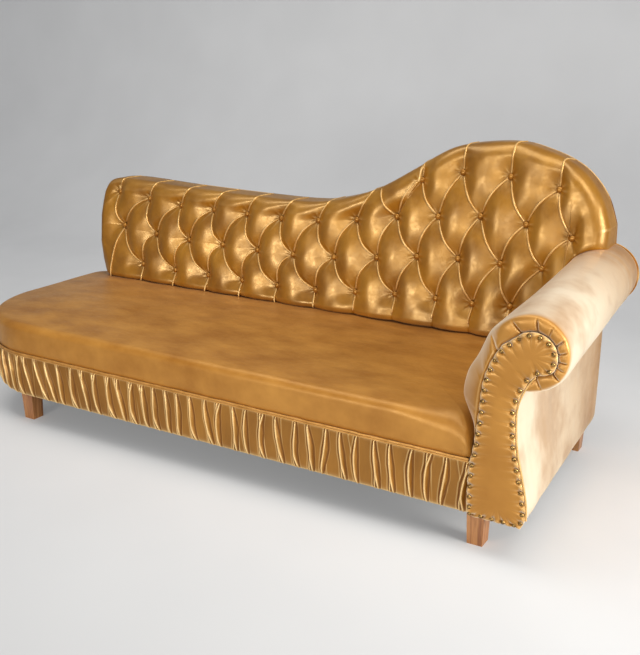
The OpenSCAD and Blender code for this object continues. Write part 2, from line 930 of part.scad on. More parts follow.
// A domed button on the shank that the tufting twine holds
module covered_button() {
    lift = button_height * button_lift_share;
    height = button_height - lift;
    dome = (pow(button_diameter / 2, 2) + pow(height, 2)) / (2 * height);
    cylinder(d = button_diameter * shank_share, h = button_height - height / 2, $fn = 16);
    translate([0, 0, lift])
        intersection() {
            translate([0, 0, height - dome])
                sphere(r = dome);
            cylinder(d = button_diameter, h = height, $fn = 32);
        }
}

module back_buttons() {
    color(velvet)
        for (row = button_rows, i = [0:row[2] - 1]) {
            x = column_x(row[1] + i, row[0]);
            z = row_height(row[1] + i, row[0], x);
            translate([x, face_y(z) + tuft_depth, z])
                rotate([90, 0, 0])
                    translate([0, 0, 2 * gap])
                        covered_button();
        }
}

// The outside panel also closes the rear of the arm and its roll, and turns the corner at both sides
module outside_back() {
    depth = back_rear - foam_front;
    color(velvet) {
        translate([0, couch_rear, 0])
            rotate([90, 0, 0])
                linear_extrude(panel_thickness)
                    polygon(concat(
                        [[back_left, rail_bottom]],
                        top_curve,
                        arc_points(roll_rear, roll_radius, roll_meeting_angles[0], -90, 20),
                        [[roll_rear[0], rail_bottom]]
                    ));
        board(back_left, foam_front, rail_bottom,
              [panel_thickness, depth, lip_height(back_left) - gap - rail_bottom]);
        board(crest_right - panel_thickness, foam_front, pad_floor(crest_right) + gap,
              [panel_thickness, depth, lip_height(crest_right) - pad_floor(crest_right) - 2 * gap]);
    }
}

/* Arm frame */
// Right and left edges of the scroll facing, as shares of the foot's width and of the facing's height
facing_right_shares = [
    [0.93, 0], [1, 0.05], [0.975, 0.148], [0.887, 0.268], [0.781, 0.402], [0.737, 0.54], [0.745, 0.63],
    [0.86, 0.73], [0.985, 0.787]
];
facing_left_shares = [
    [0.44, 0.915], [0.305, 0.844], [0.212, 0.775], [0.155, 0.7], [0.113, 0.534], [0.06, 0.37], [0.005, 0.26],
    [0, 0.06], [0.05, 0]
];
head_angles = [-38, 138];

function facing_place(s) = [facing_left + arm_foot_width * s[0], rail_bottom + facing_height * s[1]];

head_centre = [facing_left + arm_foot_width * 0.93, facing_top - facing_head_radius];
facing_outline = concat(
    spline([for (s = facing_right_shares) facing_place(s)], 3),
    arc_points(head_centre, facing_head_radius, head_angles[0], head_angles[1], 16),
    spline([for (s = facing_left_shares) facing_place(s)], 3)
);

// Length along a closed outline up to each of its points, and the place at a length along it
function run_lengths(p) = [
    for (i = 0, run = 0; i <= len(p); run = run + norm(p[(i + 1) % len(p)] - p[i % len(p)]), i = i + 1) run
];

function place_along(p, lengths, s, inset) =
    let (
        i = max([for (k = [0:len(p) - 1]) if (lengths[k] <= s) k]),
        a = p[i],
        b = p[(i + 1) % len(p)],
        t = (s - lengths[i]) / (lengths[i + 1] - lengths[i]),
        along = (b - a) / norm(b - a)
    )
    mix(a, b, t) + inset * [-along[1], along[0]];

// A plate in the facing's outline with its front at a given depth
module scroll_plate(front, thickness, inset) {
    translate([0, front + thickness, 0])
        rotate([90, 0, 0])
            linear_extrude(thickness)
                polygon([
                    for (i = [0:len(facing_outline) - 1])
                        let (
                            before = facing_outline[(i + len(facing_outline) - 1) % len(facing_outline)],
                            after = facing_outline[(i + 1) % len(facing_outline)],
                            along = (after - before) / norm(after - before)
                        )
                        facing_outline[i] + inset * [-along[1], along[0]]
                ]);
}

board_inset = panel_thickness + 3 * gap;
arm_board_thickness = band_room - facing_thickness;

core_radius = roll_radius - arm_pad_thickness - 4 * gap;

module arm_front_board() {
    color(frame_wood)
        scroll_plate(facing_thickness, arm_board_thickness, board_inset);
}

module arm_rear_board() {
    color(frame_wood) {
        board(inner_panel_x, back_face, post_bottom,
              [inner_panel_thickness, back_frame_thickness, roll_rear[1] - post_bottom]);
        translate([roll_rear[0], back_rear, roll_rear[1]])
            rotate([90, 0, 0])
                cylinder(r = core_radius, h = back_frame_thickness);
    }
}

arm_frame_front = band_room;
inner_panel_thickness = 12;
inner_panel_x = arm_rail_x + rail_thickness;

module arm_inner_panel() {
    color(frame_wood)
        difference() {
            board(inner_panel_x, arm_frame_front, rail_top - rail_height / 2,
                  [inner_panel_thickness, base_depth - arm_frame_front,
                   roll_axis_height - rail_top + rail_height / 2]);
            roll_cylinder(core_radius, cut);
        }
}

// A cylinder along the roll's sloping axis, from the front board to the rear one
module roll_cylinder(radius, overrun) {
    run = base_depth - arm_frame_front;
    front_x = roll_x - roll_turn_in * arm_frame_front / base_depth;
    front_z = roll_axis_height + roll_rise * arm_frame_front / base_depth;
    direction = [-roll_turn_in / base_depth, 1, roll_rise / base_depth];
    intersection() {
        translate([front_x, arm_frame_front, front_z])
            rotate([-90 + atan(direction[2]), 0, atan(-direction[0])])
                translate([0, 0, -radius])
                    cylinder(r = radius, h = run + 2 * radius);
        board(roll_x - 3 * radius, arm_frame_front - overrun, 0,
              [6 * radius, run + 2 * overrun, crest_height]);
    }
}

module arm_roll_core() {
    color(frame_wood)
        roll_cylinder(core_radius, 0);
}

/* Arm cover, from the seat over the roll to the outside panel */
// Stations of the arm's inner side: distance from the roll's axis in roll radii, and share of its height
arm_inner_shares = [[-1.25, 0.17], [-1.29, 0.34], [-1.44, 0.5], [-1.48, 0.6], [-1.38, 0.76], [-1.16, 0.9]];
roll_from = 170;
roll_to = -104;
roll_steps = 18;
arm_stations = 5;
arm_cover_rear = couch_rear - panel_thickness - gap;

function arm_ring(y) =
    let (
        t = y / base_depth,
        axis = [roll_x - roll_turn_in * t, roll_axis_height + roll_rise * t],
        inside = roll_radius - arm_pad_thickness,
        outer_low = [
            for (s = arm_inner_shares)
                [roll_x + s[0] * roll_radius - roll_turn_in * t * s[1] * s[1], mix(rail_top, axis[1], s[1])]
        ],
        inner_low = [
            for (s = arm_inner_shares)
                [
                    s[1] < 0.8 ? inner_panel_x - gap : min(inner_panel_x - gap, axis[0] - inside),
                    mix(rail_top, axis[1], s[1])
                ]
        ],
        ring = concat(
            outer_low,
            arc_points(axis, roll_radius, roll_from, roll_to, roll_steps),
            arc_points(axis, inside, roll_to, roll_from, roll_steps),
            [for (i = [len(inner_low) - 1:-1:0]) inner_low[i]]
        )
    )
    [for (p = ring) [p[0], y, p[1]]];

// Faces of a strip bent along its length: its sides, and both ends as pairs of points across it
function strip_faces(count, stations) =
    let (
        half = count / 2,
        last = (stations - 1) * count
    )
    concat(
        ring_faces(count, stations),
        [for (i = [0:half - 2]) each [[i, i + 1, count - 2 - i], [i, count - 2 - i, count - 1 - i]]],
        [
            for (i = [0:half - 2])
                each [
                    [last + i, last + count - 2 - i, last + i + 1],
                    [last + i, last + count - 1 - i, last + count - 2 - i]
                ]
        ]
    );

module arm_pad() {
    front = arm_frame_front + gap;
    rings = [for (k = [0:arm_stations - 1]) arm_ring(mix(front, arm_cover_rear, k / (arm_stations - 1)))];
    color(velvet)
        polyhedron(points = flatten(rings), faces = strip_faces(len(rings[0]), arm_stations), convexity = 6);
}

/* Front of the arm: gathered ring, facing, piping and nails */
ring_front = 3;
ring_round = 12;

module arm_gather_ring() {
    inner = facing_head_radius - ring_round;
    depth = arm_frame_front - ring_front;
    color(velvet)
        difference() {
            translate([roll_x, arm_frame_front, roll_axis_height])
                rotate([90, 0, 0])
                    rotate([0, 0, head_angles[0] - 45])
                        rotate_extrude(angle = 230)
                            polygon(concat(
                                [[inner, 0], [roll_radius, 0]],
                                arc_points([roll_radius - ring_round, depth - ring_round], ring_round,
                                           0, 90, 5),
                                [[inner, depth - ring_round / 2]]
                            ));
            scroll_plate(-cut, arm_frame_front + 2 * cut, -gap);
        }
}

module arm_facing() {
    color(velvet)
        scroll_plate(0, facing_thickness - gap, 0);
}

piping_diameter = 4;

piping_sides = 8;

// A round tube through a list of places in the facing's plane, at a depth
module piping(path, radius, depth) {
    last = len(path) - 1;
    points = [
        for (i = [0:last])
            let (
                along = path[min(i + 1, last)] - path[max(i - 1, 0)],
                out = [along[1], -along[0]] / norm(along)
            )
            for (k = [0:piping_sides - 1])
                let (
                    a = 360 * k / piping_sides,
                    side = radius * cos(a)
                )
                [path[i][0] + out[0] * side, depth + radius * sin(a), path[i][1] + out[1] * side]
    ];
    first_cap = [for (k = [1:piping_sides - 2]) [0, k, k + 1]];
    end = last * piping_sides;
    last_cap = [for (k = [1:piping_sides - 2]) [end, end + k + 1, end + k]];
    polyhedron(points = points, faces = concat(ring_faces(piping_sides, last + 1), first_cap, last_cap),
               convexity = 6);
}

module facing_welt() {
    radius = piping_diameter / 2;
    edge = spline([for (i = [1:len(facing_right_shares) - 1]) facing_place(facing_right_shares[i])], 2);
    last = len(edge) - 1;
    path = [
        for (i = [0:last])
            let (along = edge[min(i + 1, last)] - edge[max(i - 1, 0)])
            edge[i] + (radius + gap) * [along[1], -along[0]] / norm(along)
    ];
    color(velvet_dark)
        piping(path, radius, facing_thickness / 2);
}

module facing_nails() {
    lengths = run_lengths(facing_outline);
    total = lengths[len(facing_outline)];
    count = round(total / nail_spacing);
    color(brass)
        for (k = [0:count - 1]) {
            p = place_along(facing_outline, lengths, total * (k + 0.5) / count, nail_inset);
            translate([p[0], 0, p[1]])
                rotate([90, 0, 0])
                    nailhead();
        }
}

module nailhead() {
    dome = (pow(nail_diameter / 2, 2) + pow(nail_height, 2)) / (2 * nail_height);
    intersection() {
        translate([0, 0, nail_height - dome])
            sphere(r = dome, $fn = 24);
        cylinder(d = nail_diameter, h = nail_height, $fn = 24);
    }
}

/* Outside of the arm */
side_stations = 8;
side_steps = 12;
side_front = facing_thickness + piping_diameter;
side_rear_x = roll_rear[0] + panel_thickness + 2 * gap;
side_edge = [for (p = spline([for (s = facing_right_shares) facing_place(s)], 3)) [p[1], p[0]]];
function side_top(y) = roll_axis_height + roll_rise * y / base_depth - roll_radius - 2 * gap;

// Section of the panel: the facing's curve at the front, drawn straight towards the rear
function side_ring(y) =
    let (
        t = (y - side_front) / (couch_rear - side_front),
        outer = [
            for (k = [0:side_steps])
                let (share = k / side_steps)
                [
                    mix(lookup(mix(rail_bottom, side_top(0), share), side_edge), side_rear_x, t),
                    y,
                    mix(rail_bottom, side_top(y), share)
                ]
        ]
    )
    concat(
        [for (p = outer) p - [panel_thickness, 0, 0]],
        [for (k = [side_steps:-1:0]) outer[k]]
    );

module outside_arm() {
    rings = [for (k = [0:side_stations - 1]) side_ring(mix(side_front, couch_rear, k / (side_stations - 1)))];
    color(velvet)
        polyhedron(points = flatten(rings), faces = strip_faces(len(rings[0]), side_stations), convexity = 6);
}

placed() front_rail();
placed() corner_rail();
placed() foot_rail();
placed() rear_rail();
placed() arm_rail();
placed() seat_stretchers();
placed() leg_blocks();
placed() leg_front_left();
placed() leg_front_right();
placed() leg_rear_left();
placed() leg_rear_right();
placed() leg_bolts();
placed() tee_nuts();
placed() dust_cover();
placed() cross_webbing();
placed() long_webbing();
placed() seat_foam();
placed() seat_cover();
placed() double_welt();
placed() gathered_band();
placed() back_bottom_rail();
placed() back_post_left();
placed() back_post_right();
placed() back_studs();
placed() back_top_rail();
placed() back_webbing();
placed() back_foam();
placed() back_pad();
placed() back_buttons();
placed() outside_back();
placed() arm_front_board();
placed() arm_rear_board();
placed() arm_inner_panel();
placed() arm_roll_core();
placed() arm_pad();
placed() arm_gather_ring();
placed() arm_facing();
placed() facing_welt();
placed() facing_nails();
placed() outside_arm();
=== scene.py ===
import json
import math

import bmesh
import bpy
import numpy as np
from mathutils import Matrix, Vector

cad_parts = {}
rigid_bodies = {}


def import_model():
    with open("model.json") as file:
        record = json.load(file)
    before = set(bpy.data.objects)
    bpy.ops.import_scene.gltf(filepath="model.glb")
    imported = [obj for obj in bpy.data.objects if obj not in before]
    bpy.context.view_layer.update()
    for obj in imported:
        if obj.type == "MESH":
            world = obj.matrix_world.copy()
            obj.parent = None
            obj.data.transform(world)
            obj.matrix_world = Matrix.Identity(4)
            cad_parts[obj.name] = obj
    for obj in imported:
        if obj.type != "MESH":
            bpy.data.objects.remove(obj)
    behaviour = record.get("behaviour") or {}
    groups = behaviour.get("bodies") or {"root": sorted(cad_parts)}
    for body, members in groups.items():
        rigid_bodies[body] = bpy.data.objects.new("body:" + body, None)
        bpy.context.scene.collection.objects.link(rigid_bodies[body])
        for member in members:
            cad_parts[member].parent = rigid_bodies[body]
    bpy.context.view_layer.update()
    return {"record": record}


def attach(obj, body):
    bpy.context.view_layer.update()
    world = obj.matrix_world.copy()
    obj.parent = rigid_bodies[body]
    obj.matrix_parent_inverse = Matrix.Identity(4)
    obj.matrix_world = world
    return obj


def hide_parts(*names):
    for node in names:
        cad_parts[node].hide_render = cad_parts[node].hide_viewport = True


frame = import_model()

# Workshop places are in millimetres from the base's front corner at the foot end; MIDDLE is under the origin
MIDDLE = np.array([1069.25, 400.25, 0.0])
MM = 0.001

# Main sizes, as in the part's source
BASE_DEPTH = 750.0
FRONT_RADIUS = 340.0
REAR_RADIUS = 80.0
RAIL_BOTTOM = 107.0
RAIL_TOP = 248.0
BAND_ROOM = 21.0
FACING_LEFT = 1910.0
FOOT_WIDTH = 151.0
FACING_HEIGHT = 499.0
HEAD = np.array([2050.4, 548.0])
HEAD_RADIUS = 58.0
ROLL_FRONT = np.array([2043.5, 550.0])
ROLL_REAR = np.array([2017.5, 576.0])
ROLL_RADIUS = 95.0
BACK_LEFT = 88.0
CREST_RIGHT = 2037.0
LOW_BACK = 728.0
CREST_RISE = 226.0
BACK_REAR = 798.0
COUCH_REAR = 804.0
PAD_FRONT = 623.7
PAD_BOTTOM = 377.0
RAKE = math.tan(math.radians(8.5))
EDGE_ROLL = 42.0
TUFT_DEPTH = 28.0
PITCH = 148.0
ROW_PITCH = 121.0
FIRST_BUTTON = (300.0, 424.0)
SEAT_RIGHT = 1922.7
SEAT_LEVEL = 366.0
ARM_START = 1923.0


def ease(t):
    t = np.clip(t, 0.0, 1.0)
    return t * t * (3.0 - 2.0 * t)


def mix(a, b, t):
    return a + (b - a) * t


def wave(x, seed):
    """Smooth noise along a line, between about -1 and 1."""
    rng = np.random.default_rng(seed)
    total = 0
    for k in range(5):
        total += np.sin(x * rng.uniform(0.6, 1.6) * (k + 1) * 0.8 + rng.uniform(0, 6.3)) / (k + 1.5)
    return total / 1.3


RIPPLES = 6


def ripple(x, y, seed):
    """Smooth noise over a plane, between about -1 and 1; one unit is about one bump."""
    rng = np.random.default_rng(seed)
    total = 0
    for _ in range(RIPPLES):
        angle = rng.uniform(0, 2 * math.pi)
        rate = rng.uniform(1.2, 4.2)
        total += np.sin((x * math.cos(angle) + y * math.sin(angle)) * rate + rng.uniform(0, 6.3))
    return total / math.sqrt(RIPPLES)


def spline(points, steps):
    """Catmull-Rom curve through a list of points, with steps between two of them."""
    p = [np.array(q, dtype=float) for q in points]
    out = []
    for i in range(len(p) - 1):
        a, b, c, d = p[max(i - 1, 0)], p[i], p[i + 1], p[min(i + 2, len(p) - 1)]
        for k in range(steps):
            t = k / steps
            out.append(0.5 * (2 * b + (c - a) * t + (2 * a - 5 * b + 4 * c - d) * t * t
                              + (3 * b - a - 3 * c + d) * t ** 3))
    out.append(p[-1])
    return np.array(out)


def joined(*parts):
    """Places from their coordinates, where a single value counts for all of them."""
    return np.stack(np.broadcast_arrays(*parts), axis=-1)


def at_depth(path, y):
    """A path in the plane of the couch's front, set back by a depth or by one for each of its places."""
    return joined(path[:, 0], y, path[:, 1])


def arc(centre, radius, start, end, steps):
    a = np.radians(np.linspace(start, end, steps + 1))
    return np.asarray(centre) + radius * joined(np.cos(a), np.sin(a))


def unit(vectors):
    return vectors / np.maximum(np.linalg.norm(vectors, axis=1), 1e-9)[:, None]


def to_right(path):
    """Unit vectors that point to the right of a path's run."""
    along = unit(np.gradient(path, axis=0))
    return joined(along[:, 1], -along[:, 0])


def run_along(path):
    """Distance along a path at each of its places."""
    return np.concatenate([[0], np.cumsum(np.linalg.norm(np.diff(path, axis=0), axis=1))])


def on_path(path, run, distances):
    return joined(np.interp(distances, run, path[:, 0]), np.interp(distances, run, path[:, 1]))


# Meshes
def new_object(name, data):
    made = bpy.data.objects.new(name, data)
    bpy.context.scene.collection.objects.link(made)
    return made


def grid_faces(rows, cols, wrap=False, offset=0, caps=False):
    i = np.arange(rows - 1)[:, None]
    j = np.arange(cols if wrap else cols - 1)[None, :]
    nxt = (j + 1) % cols
    quads = np.stack([i * cols + j, i * cols + nxt, (i + 1) * cols + nxt, (i + 1) * cols + j], axis=-1)
    faces = (quads.reshape(-1, 4) + offset).tolist()
    if caps:
        faces += [list(range(start, start + cols)) for start in (offset, offset + (rows - 1) * cols)]
    return faces


def new_mesh(name, points, faces, material):
    mesh = bpy.data.meshes.new(name)
    mesh.from_pydata(points, [], faces)
    mesh.validate()
    mesh.materials.append(material)
    mesh.polygons.foreach_set("use_smooth", [True] * len(mesh.polygons))
    return new_object(name, mesh)


def make_mesh(name, points, faces, material):
    """A piece from workshop places, with its normals outwards."""
    piece = new_mesh(name, ((np.asarray(points, dtype=float) - MIDDLE) * MM).tolist(), faces, material)
    shell = bmesh.new()
    shell.from_mesh(piece.data)
    bmesh.ops.recalc_face_normals(shell, faces=shell.faces)
    middle = sum((v.co for v in shell.verts), Vector()) / len(shell.verts)
    if sum(f.calc_area() * f.normal.dot(f.calc_center_median() - middle) for f in shell.faces) < 0:
        bmesh.ops.reverse_faces(shell, faces=shell.faces)
    shell.to_mesh(piece.data)
    shell.free()
    return piece


def finish_piece(piece, *nodes, slot="gold_velvet"):
    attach(piece, "root")
    if nodes:
        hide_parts(*nodes)


def panel(outer, thick=4.0):
    """Grid of a panel that has an outer face and another a little inside it."""
    return np.concatenate([outer, (outer + np.array([thick, 0, 0]))[:, ::-1]], axis=1)


def grid_piece(name, grid, material, wrap=False, caps=False):
    """A piece from an array of rows of points."""
    grid = np.asarray(grid)
    return make_mesh(name, grid.reshape(-1, 3), grid_faces(*grid.shape[:2], wrap, caps=caps), material)


# Materials
def set_values(made, values):
    """Values on a node's own sockets, with _ for a space in a socket's name."""
    for key, value in values.items():
        made.inputs[key.replace("_", " ")].default_value = value


def node(near, kind, **values):
    """A shader node in the tree of another node or socket, by the last part of its kind's name."""
    made = near.id_data.nodes.new("ShaderNode" + kind)
    set_values(made, values)
    return made


def link(source, socket):
    socket.id_data.links.new(source, socket)


def feed(made, **sources):
    """Links other nodes' outputs to a node's sockets, with _ for a space in a socket's name."""
    for key, source in sources.items():
        link(source, made.inputs[key.replace("_", " ")])


def new_material(name):
    material = bpy.data.materials.new(name)
    material.use_nodes = True
    tree = material.node_tree
    tree.nodes.clear()
    output = node(tree, "OutputMaterial")
    shader = node(tree, "BsdfPrincipled")
    feed(output, Surface=shader.outputs["BSDF"])
    return material, shader, node(tree, "TexCoord").outputs["Object"]


def noise(coordinates, scale, detail=2.0, rough=0.5, stretch=None):
    made = node(coordinates, "TexNoise", Scale=scale, Detail=detail, Roughness=rough)
    if stretch:
        mapping = node(coordinates, "Mapping", Scale=stretch)
        feed(mapping, Vector=coordinates)
        coordinates = mapping.outputs["Vector"]
    feed(made, Vector=coordinates)
    return made.outputs["Fac"]


def ramp(factor, stops):
    made = node(factor, "ValToRGB")
    elements = made.color_ramp.elements
    for element, (place, colour) in zip(elements, (stops[0], stops[-1])):
        element.position = place
        element.color = (*colour, 1)
    for place, colour in stops[1:-1]:
        elements.new(place).color = (*colour, 1)
    feed(made, Fac=factor)
    return made.outputs["Color"]


def map_range(factor, low, high, start=0.35, end=0.65):
    made = node(factor, "MapRange", From_Min=start, From_Max=end, To_Min=low, To_Max=high)
    feed(made, Value=factor)
    return made.outputs["Result"]


def bump(height, strength, distance, normal=None):
    made = node(height, "Bump", Strength=strength, Distance=distance)
    feed(made, Height=height)
    if normal:
        feed(made, Normal=normal)
    return made.outputs["Normal"]


def times(first, second):
    made = node(first, "Math")
    made.operation = "MULTIPLY"
    link(first, made.inputs[0])
    link(second, made.inputs[1])
    return made.outputs["Value"]


def depth_share(place, front, rear, near, far):
    """A value that turns from near to far between two depths in the couch's own coordinates."""
    split = node(place, "SeparateXYZ")
    feed(split, Vector=place)
    return map_range(split.outputs["Y"], near, far, front, rear)


def blend(factor, first, second):
    """Mix of two colours, where the first comes from a node and the second is fixed."""
    mixer = node(factor, "Mix")
    mixer.data_type = "RGBA"
    link(factor, mixer.inputs[0])
    link(first, mixer.inputs[6])
    mixer.inputs[7].default_value = (*second, 1)
    return mixer.outputs[2]


# Painted shade for concave creases and painted highlight for convex crests, laid on by curvature
PAINTED_CREASE_SHADE = (0.16, 0.045, 0.003)
PAINTED_CREST_HIGHLIGHT = (0.95, 0.66, 0.3)
# Colour of the painted sheen
PAINTED_SHEEN_PALE = (0.97, 0.88, 0.7)


def velvet(name, dark, light, brushing=5.0, stretch=None, metallic=0.2, rough=0.38, sheen=0.3, crushed=0.2,
           painted_sheen=0.0, painted_fold_shading=0.0, ior=1.5):
    """Satin velvet: patches of differently laid pile, crushed streaks and a fine pile under a warm gloss.

    Painted sheen pales the colour where the pile is seen from the side; painted shade darkens creases and a painted
    highlight pales crests.
    """
    material, shader, place = new_material(name)
    patches = noise(place, brushing, 4.0, 0.6, stretch)
    colour = ramp(patches, [(0.32, dark), (0.68, light)])
    # Painted fold shading: painted shade in the creases and a painted highlight on the crests
    if painted_fold_shading:
        pointed = node(place, "NewGeometry").outputs["Pointiness"]
        colour = blend(map_range(pointed, painted_fold_shading, 0.0, 0.465, 0.5), colour, PAINTED_CREASE_SHADE)
        colour = blend(map_range(pointed, 0.0, painted_fold_shading, 0.503, 0.54), colour, PAINTED_CREST_HIGHLIGHT)
    # Painted sheen: the colour pales towards cream where the surface is seen edge-on
    if painted_sheen:
        side = node(place, "LayerWeight", Blend=0.5).outputs["Facing"]
        patchy = times(map_range(side, 0.0, painted_sheen, 0.28, 0.7),
                       map_range(patches, 0.45, 1.0, 0.38, 0.56))
        # The painted sheen is paler at the front and fades towards the rear, as painted falloff of the light
        painted_sheen_share = times(patchy, depth_share(place, -0.15, 0.36, 1.0, 0.25))
        colour = blend(painted_sheen_share, colour, PAINTED_SHEEN_PALE)
    streaks = noise(place, brushing * 9, 2.0, 0.6, stretch)
    pile = noise(place, 1400.0, 2.0, 0.7)
    crush = bump(noise(place, 45.0, 3.0, 0.5, stretch), crushed, 0.0014)
    feed(shader, Base_Color=colour, Roughness=map_range(streaks, rough - 0.05, rough + 0.05),
         Normal=bump(pile, 0.02, 0.0004, crush))
    set_values(shader, dict(
        Metallic=metallic, IOR=ior, Specular_IOR_Level=1.0, Specular_Tint=(1.0, 0.85, 0.48, 1),
        Sheen_Weight=sheen, Sheen_Roughness=0.32, Sheen_Tint=(1.0, 0.95, 0.82, 1)))
    return material


GOLD_DARK = (0.36, 0.135, 0.014)
GOLD_LIGHT = (0.56, 0.25, 0.042)
# The gold velvet takes the painted sheen and the painted fold shading
velvet_gold = velvet("velvet_gold", GOLD_DARK, GOLD_LIGHT, 4.0, painted_sheen=0.8, painted_fold_shading=0.4)
# A darker copy of the gold velvet for the tufted back: its lower tone is painted shade
velvet_back_painted_shade = velvet("velvet_back_painted_shade", (0.27, 0.098, 0.004), (0.45, 0.19, 0.012), 10.0, metallic=0.22, rough=0.34,
                     sheen=0.05, crushed=0.08, painted_fold_shading=0.5, ior=1.72)
velvet_seat = velvet("velvet_seat", GOLD_DARK, GOLD_LIGHT, 6.0, (1.0, 2.2, 1.0), 0.12, 0.42, 0.1)
# A darker copy of the gold velvet for the gathered band: its lower tone is painted shade under the seat
velvet_band_painted_shade = velvet("velvet_band_painted_shade", (0.25, 0.09, 0.007), (0.42, 0.175, 0.022), 9.0, (1.0, 1.0, 0.3), 0.28, 0.34,
                     0.05, 0.08, painted_fold_shading=0.9, ior=1.55)
# A much lighter copy of the gold velvet for the pleat cords and the facing's cord: its pale tone is a painted
# highlight
velvet_cord_painted_highlight = velvet("velvet_cord_painted_highlight", (0.62, 0.33, 0.09), (0.85, 0.55, 0.22), 30.0, None, 0.3, 0.34, 0.2)
velvet_welt = velvet("velvet_welt", (0.46, 0.2, 0.035), (0.64, 0.32, 0.085), 30.0, None, 0.2, 0.36, 0.1)
# A darker copy of the gold velvet for the buttons: its lower tone is painted shade of the hollows
velvet_button_painted_shade = velvet("velvet_button_painted_shade", (0.3, 0.11, 0.01), (0.5, 0.22, 0.034), 40.0, None, 0.35, 0.3, 0.1)


def leg_varnish():
    material, shader, place = new_material("leg_varnish")
    rings = noise(place, 9.0, 4.0, 0.6, (7.0, 7.0, 0.5))
    fine = noise(place, 60.0, 3.0, 0.7, (6.0, 6.0, 0.25))
    grain = node(place, "Math")
    grain.operation = "MULTIPLY_ADD"
    grain.inputs[1].default_value = 0.45
    link(fine, grain.inputs[0])
    link(map_range(rings, 0.0, 0.55, 0.3, 0.7), grain.inputs[2])
    colour = ramp(grain.outputs["Value"], [
        (0.15, (0.16, 0.05, 0.014)), (0.42, (0.36, 0.135, 0.04)), (0.62, (0.52, 0.23, 0.075)),
        (0.9, (0.62, 0.31, 0.12))])
    feed(shader, Base_Color=colour, Roughness=map_range(fine, 0.28, 0.42),
         Normal=bump(fine, 0.25, 0.0006))
    set_values(shader, dict(Coat_Weight=0.35, Coat_Roughness=0.22))
    return material


def matt(name, height, colours, strength, distance, rough):
    """A dull material whose colour and bump come from one value."""
    material, shader, place = new_material(name)
    value = height(place)
    feed(shader, Base_Color=ramp(value, colours), Normal=bump(value, strength, distance))
    set_values(shader, dict(Roughness=rough))
    return material


def woven(name, dark, light, pitch):
    """Plain weave in two directions."""
    def weave(place):
        waves = []
        for direction in ("X", "Z"):
            made = node(place, "TexWave", Scale=1.0 / pitch, Distortion=0.6)
            made.bands_direction = direction
            feed(made, Vector=place)
            waves.append(made.outputs["Fac"])
        return times(*waves)
    return matt(name, weave, [(0.1, dark), (0.8, light)], 0.4, 0.0005, 0.85)


def wood_grain(place):
    return noise(place, 14.0, 4.0, 0.6, (0.4, 3.0, 3.0))


def foam_cells(place):
    cells = node(place, "TexVoronoi", Scale=420.0)
    feed(cells, Vector=place)
    return cells.outputs["Distance"]


def metal(name, dark, light, low, high, scale):
    material, shader, place = new_material(name)
    stains = noise(place, scale, 3.0, 0.6)
    feed(shader, Base_Color=ramp(stains, [(0.35, dark), (0.62, light)]),
         Roughness=map_range(stains, high, low), Normal=bump(stains, 0.15, 0.0004))
    set_values(shader, dict(Metallic=1.0))
    return material


foam = matt("open_foam", foam_cells, [(0.1, (0.55, 0.48, 0.25)), (0.6, (0.86, 0.8, 0.55))], 0.4, 0.0006, 0.9)
BY_SLOT = {
    "gold_velvet": velvet_gold,
    "velvet_piping": velvet_cord_painted_highlight,
    "leg_wood": leg_varnish(),
    "frame_wood": matt("frame_softwood", wood_grain, [(0.3, (0.42, 0.27, 0.12)), (0.7, (0.66, 0.48, 0.27))],
                       0.3, 0.001, 0.75),
    "foam": foam,
    "webbing": woven("jute_webbing", (0.2, 0.13, 0.05), (0.55, 0.42, 0.24), 0.02),
    "black_cloth": woven("black_cloth", (0.012, 0.012, 0.013), (0.035, 0.035, 0.037), 0.01),
    "antique_brass": metal("antique_brass", (0.07, 0.035, 0.012), (0.46, 0.28, 0.09), 0.24, 0.45, 260.0),
    "steel": metal("zinc_steel", (0.4, 0.41, 0.43), (0.62, 0.63, 0.66), 0.3, 0.45, 120.0),
}
for row in frame["record"]["subparts"]:
    mesh = bpy.data.objects[row["node"]].data
    mesh.materials.clear()
    mesh.materials.append(BY_SLOT[row["material_slot"]])

# Back: outline, lattice and tufts
TOP_STATIONS = [
    (0, -0.3), (0.005, -0.12), (0.02, 0.03), (0.052, 0.07), (0.11, 0.06), (0.2, 0.02), (0.36, -0.02),
    (0.48, -0.025), (0.54, 0.05), (0.61, 0.24), (0.675, 0.55), (0.715, 0.765), (0.75, 0.905), (0.8, 0.98),
    (0.85, 0.995), (0.89, 0.92), (0.93, 0.79), (0.96, 0.61), (0.985, 0.33), (1, -0.02)]
BACK_WIDTH = CREST_RIGHT - BACK_LEFT
top_curve = spline([(BACK_LEFT + BACK_WIDTH * s, LOW_BACK + CREST_RISE * h) for s, h in TOP_STATIONS], 12)
top_curve[:, 0] = np.maximum.accumulate(top_curve[:, 0] + np.arange(len(top_curve)) * 1e-6)
top_curve[:, 0] = np.clip(top_curve[:, 0], BACK_LEFT, CREST_RIGHT)


def top_height(x):
    return np.interp(x, top_curve[:, 0], top_curve[:, 1])


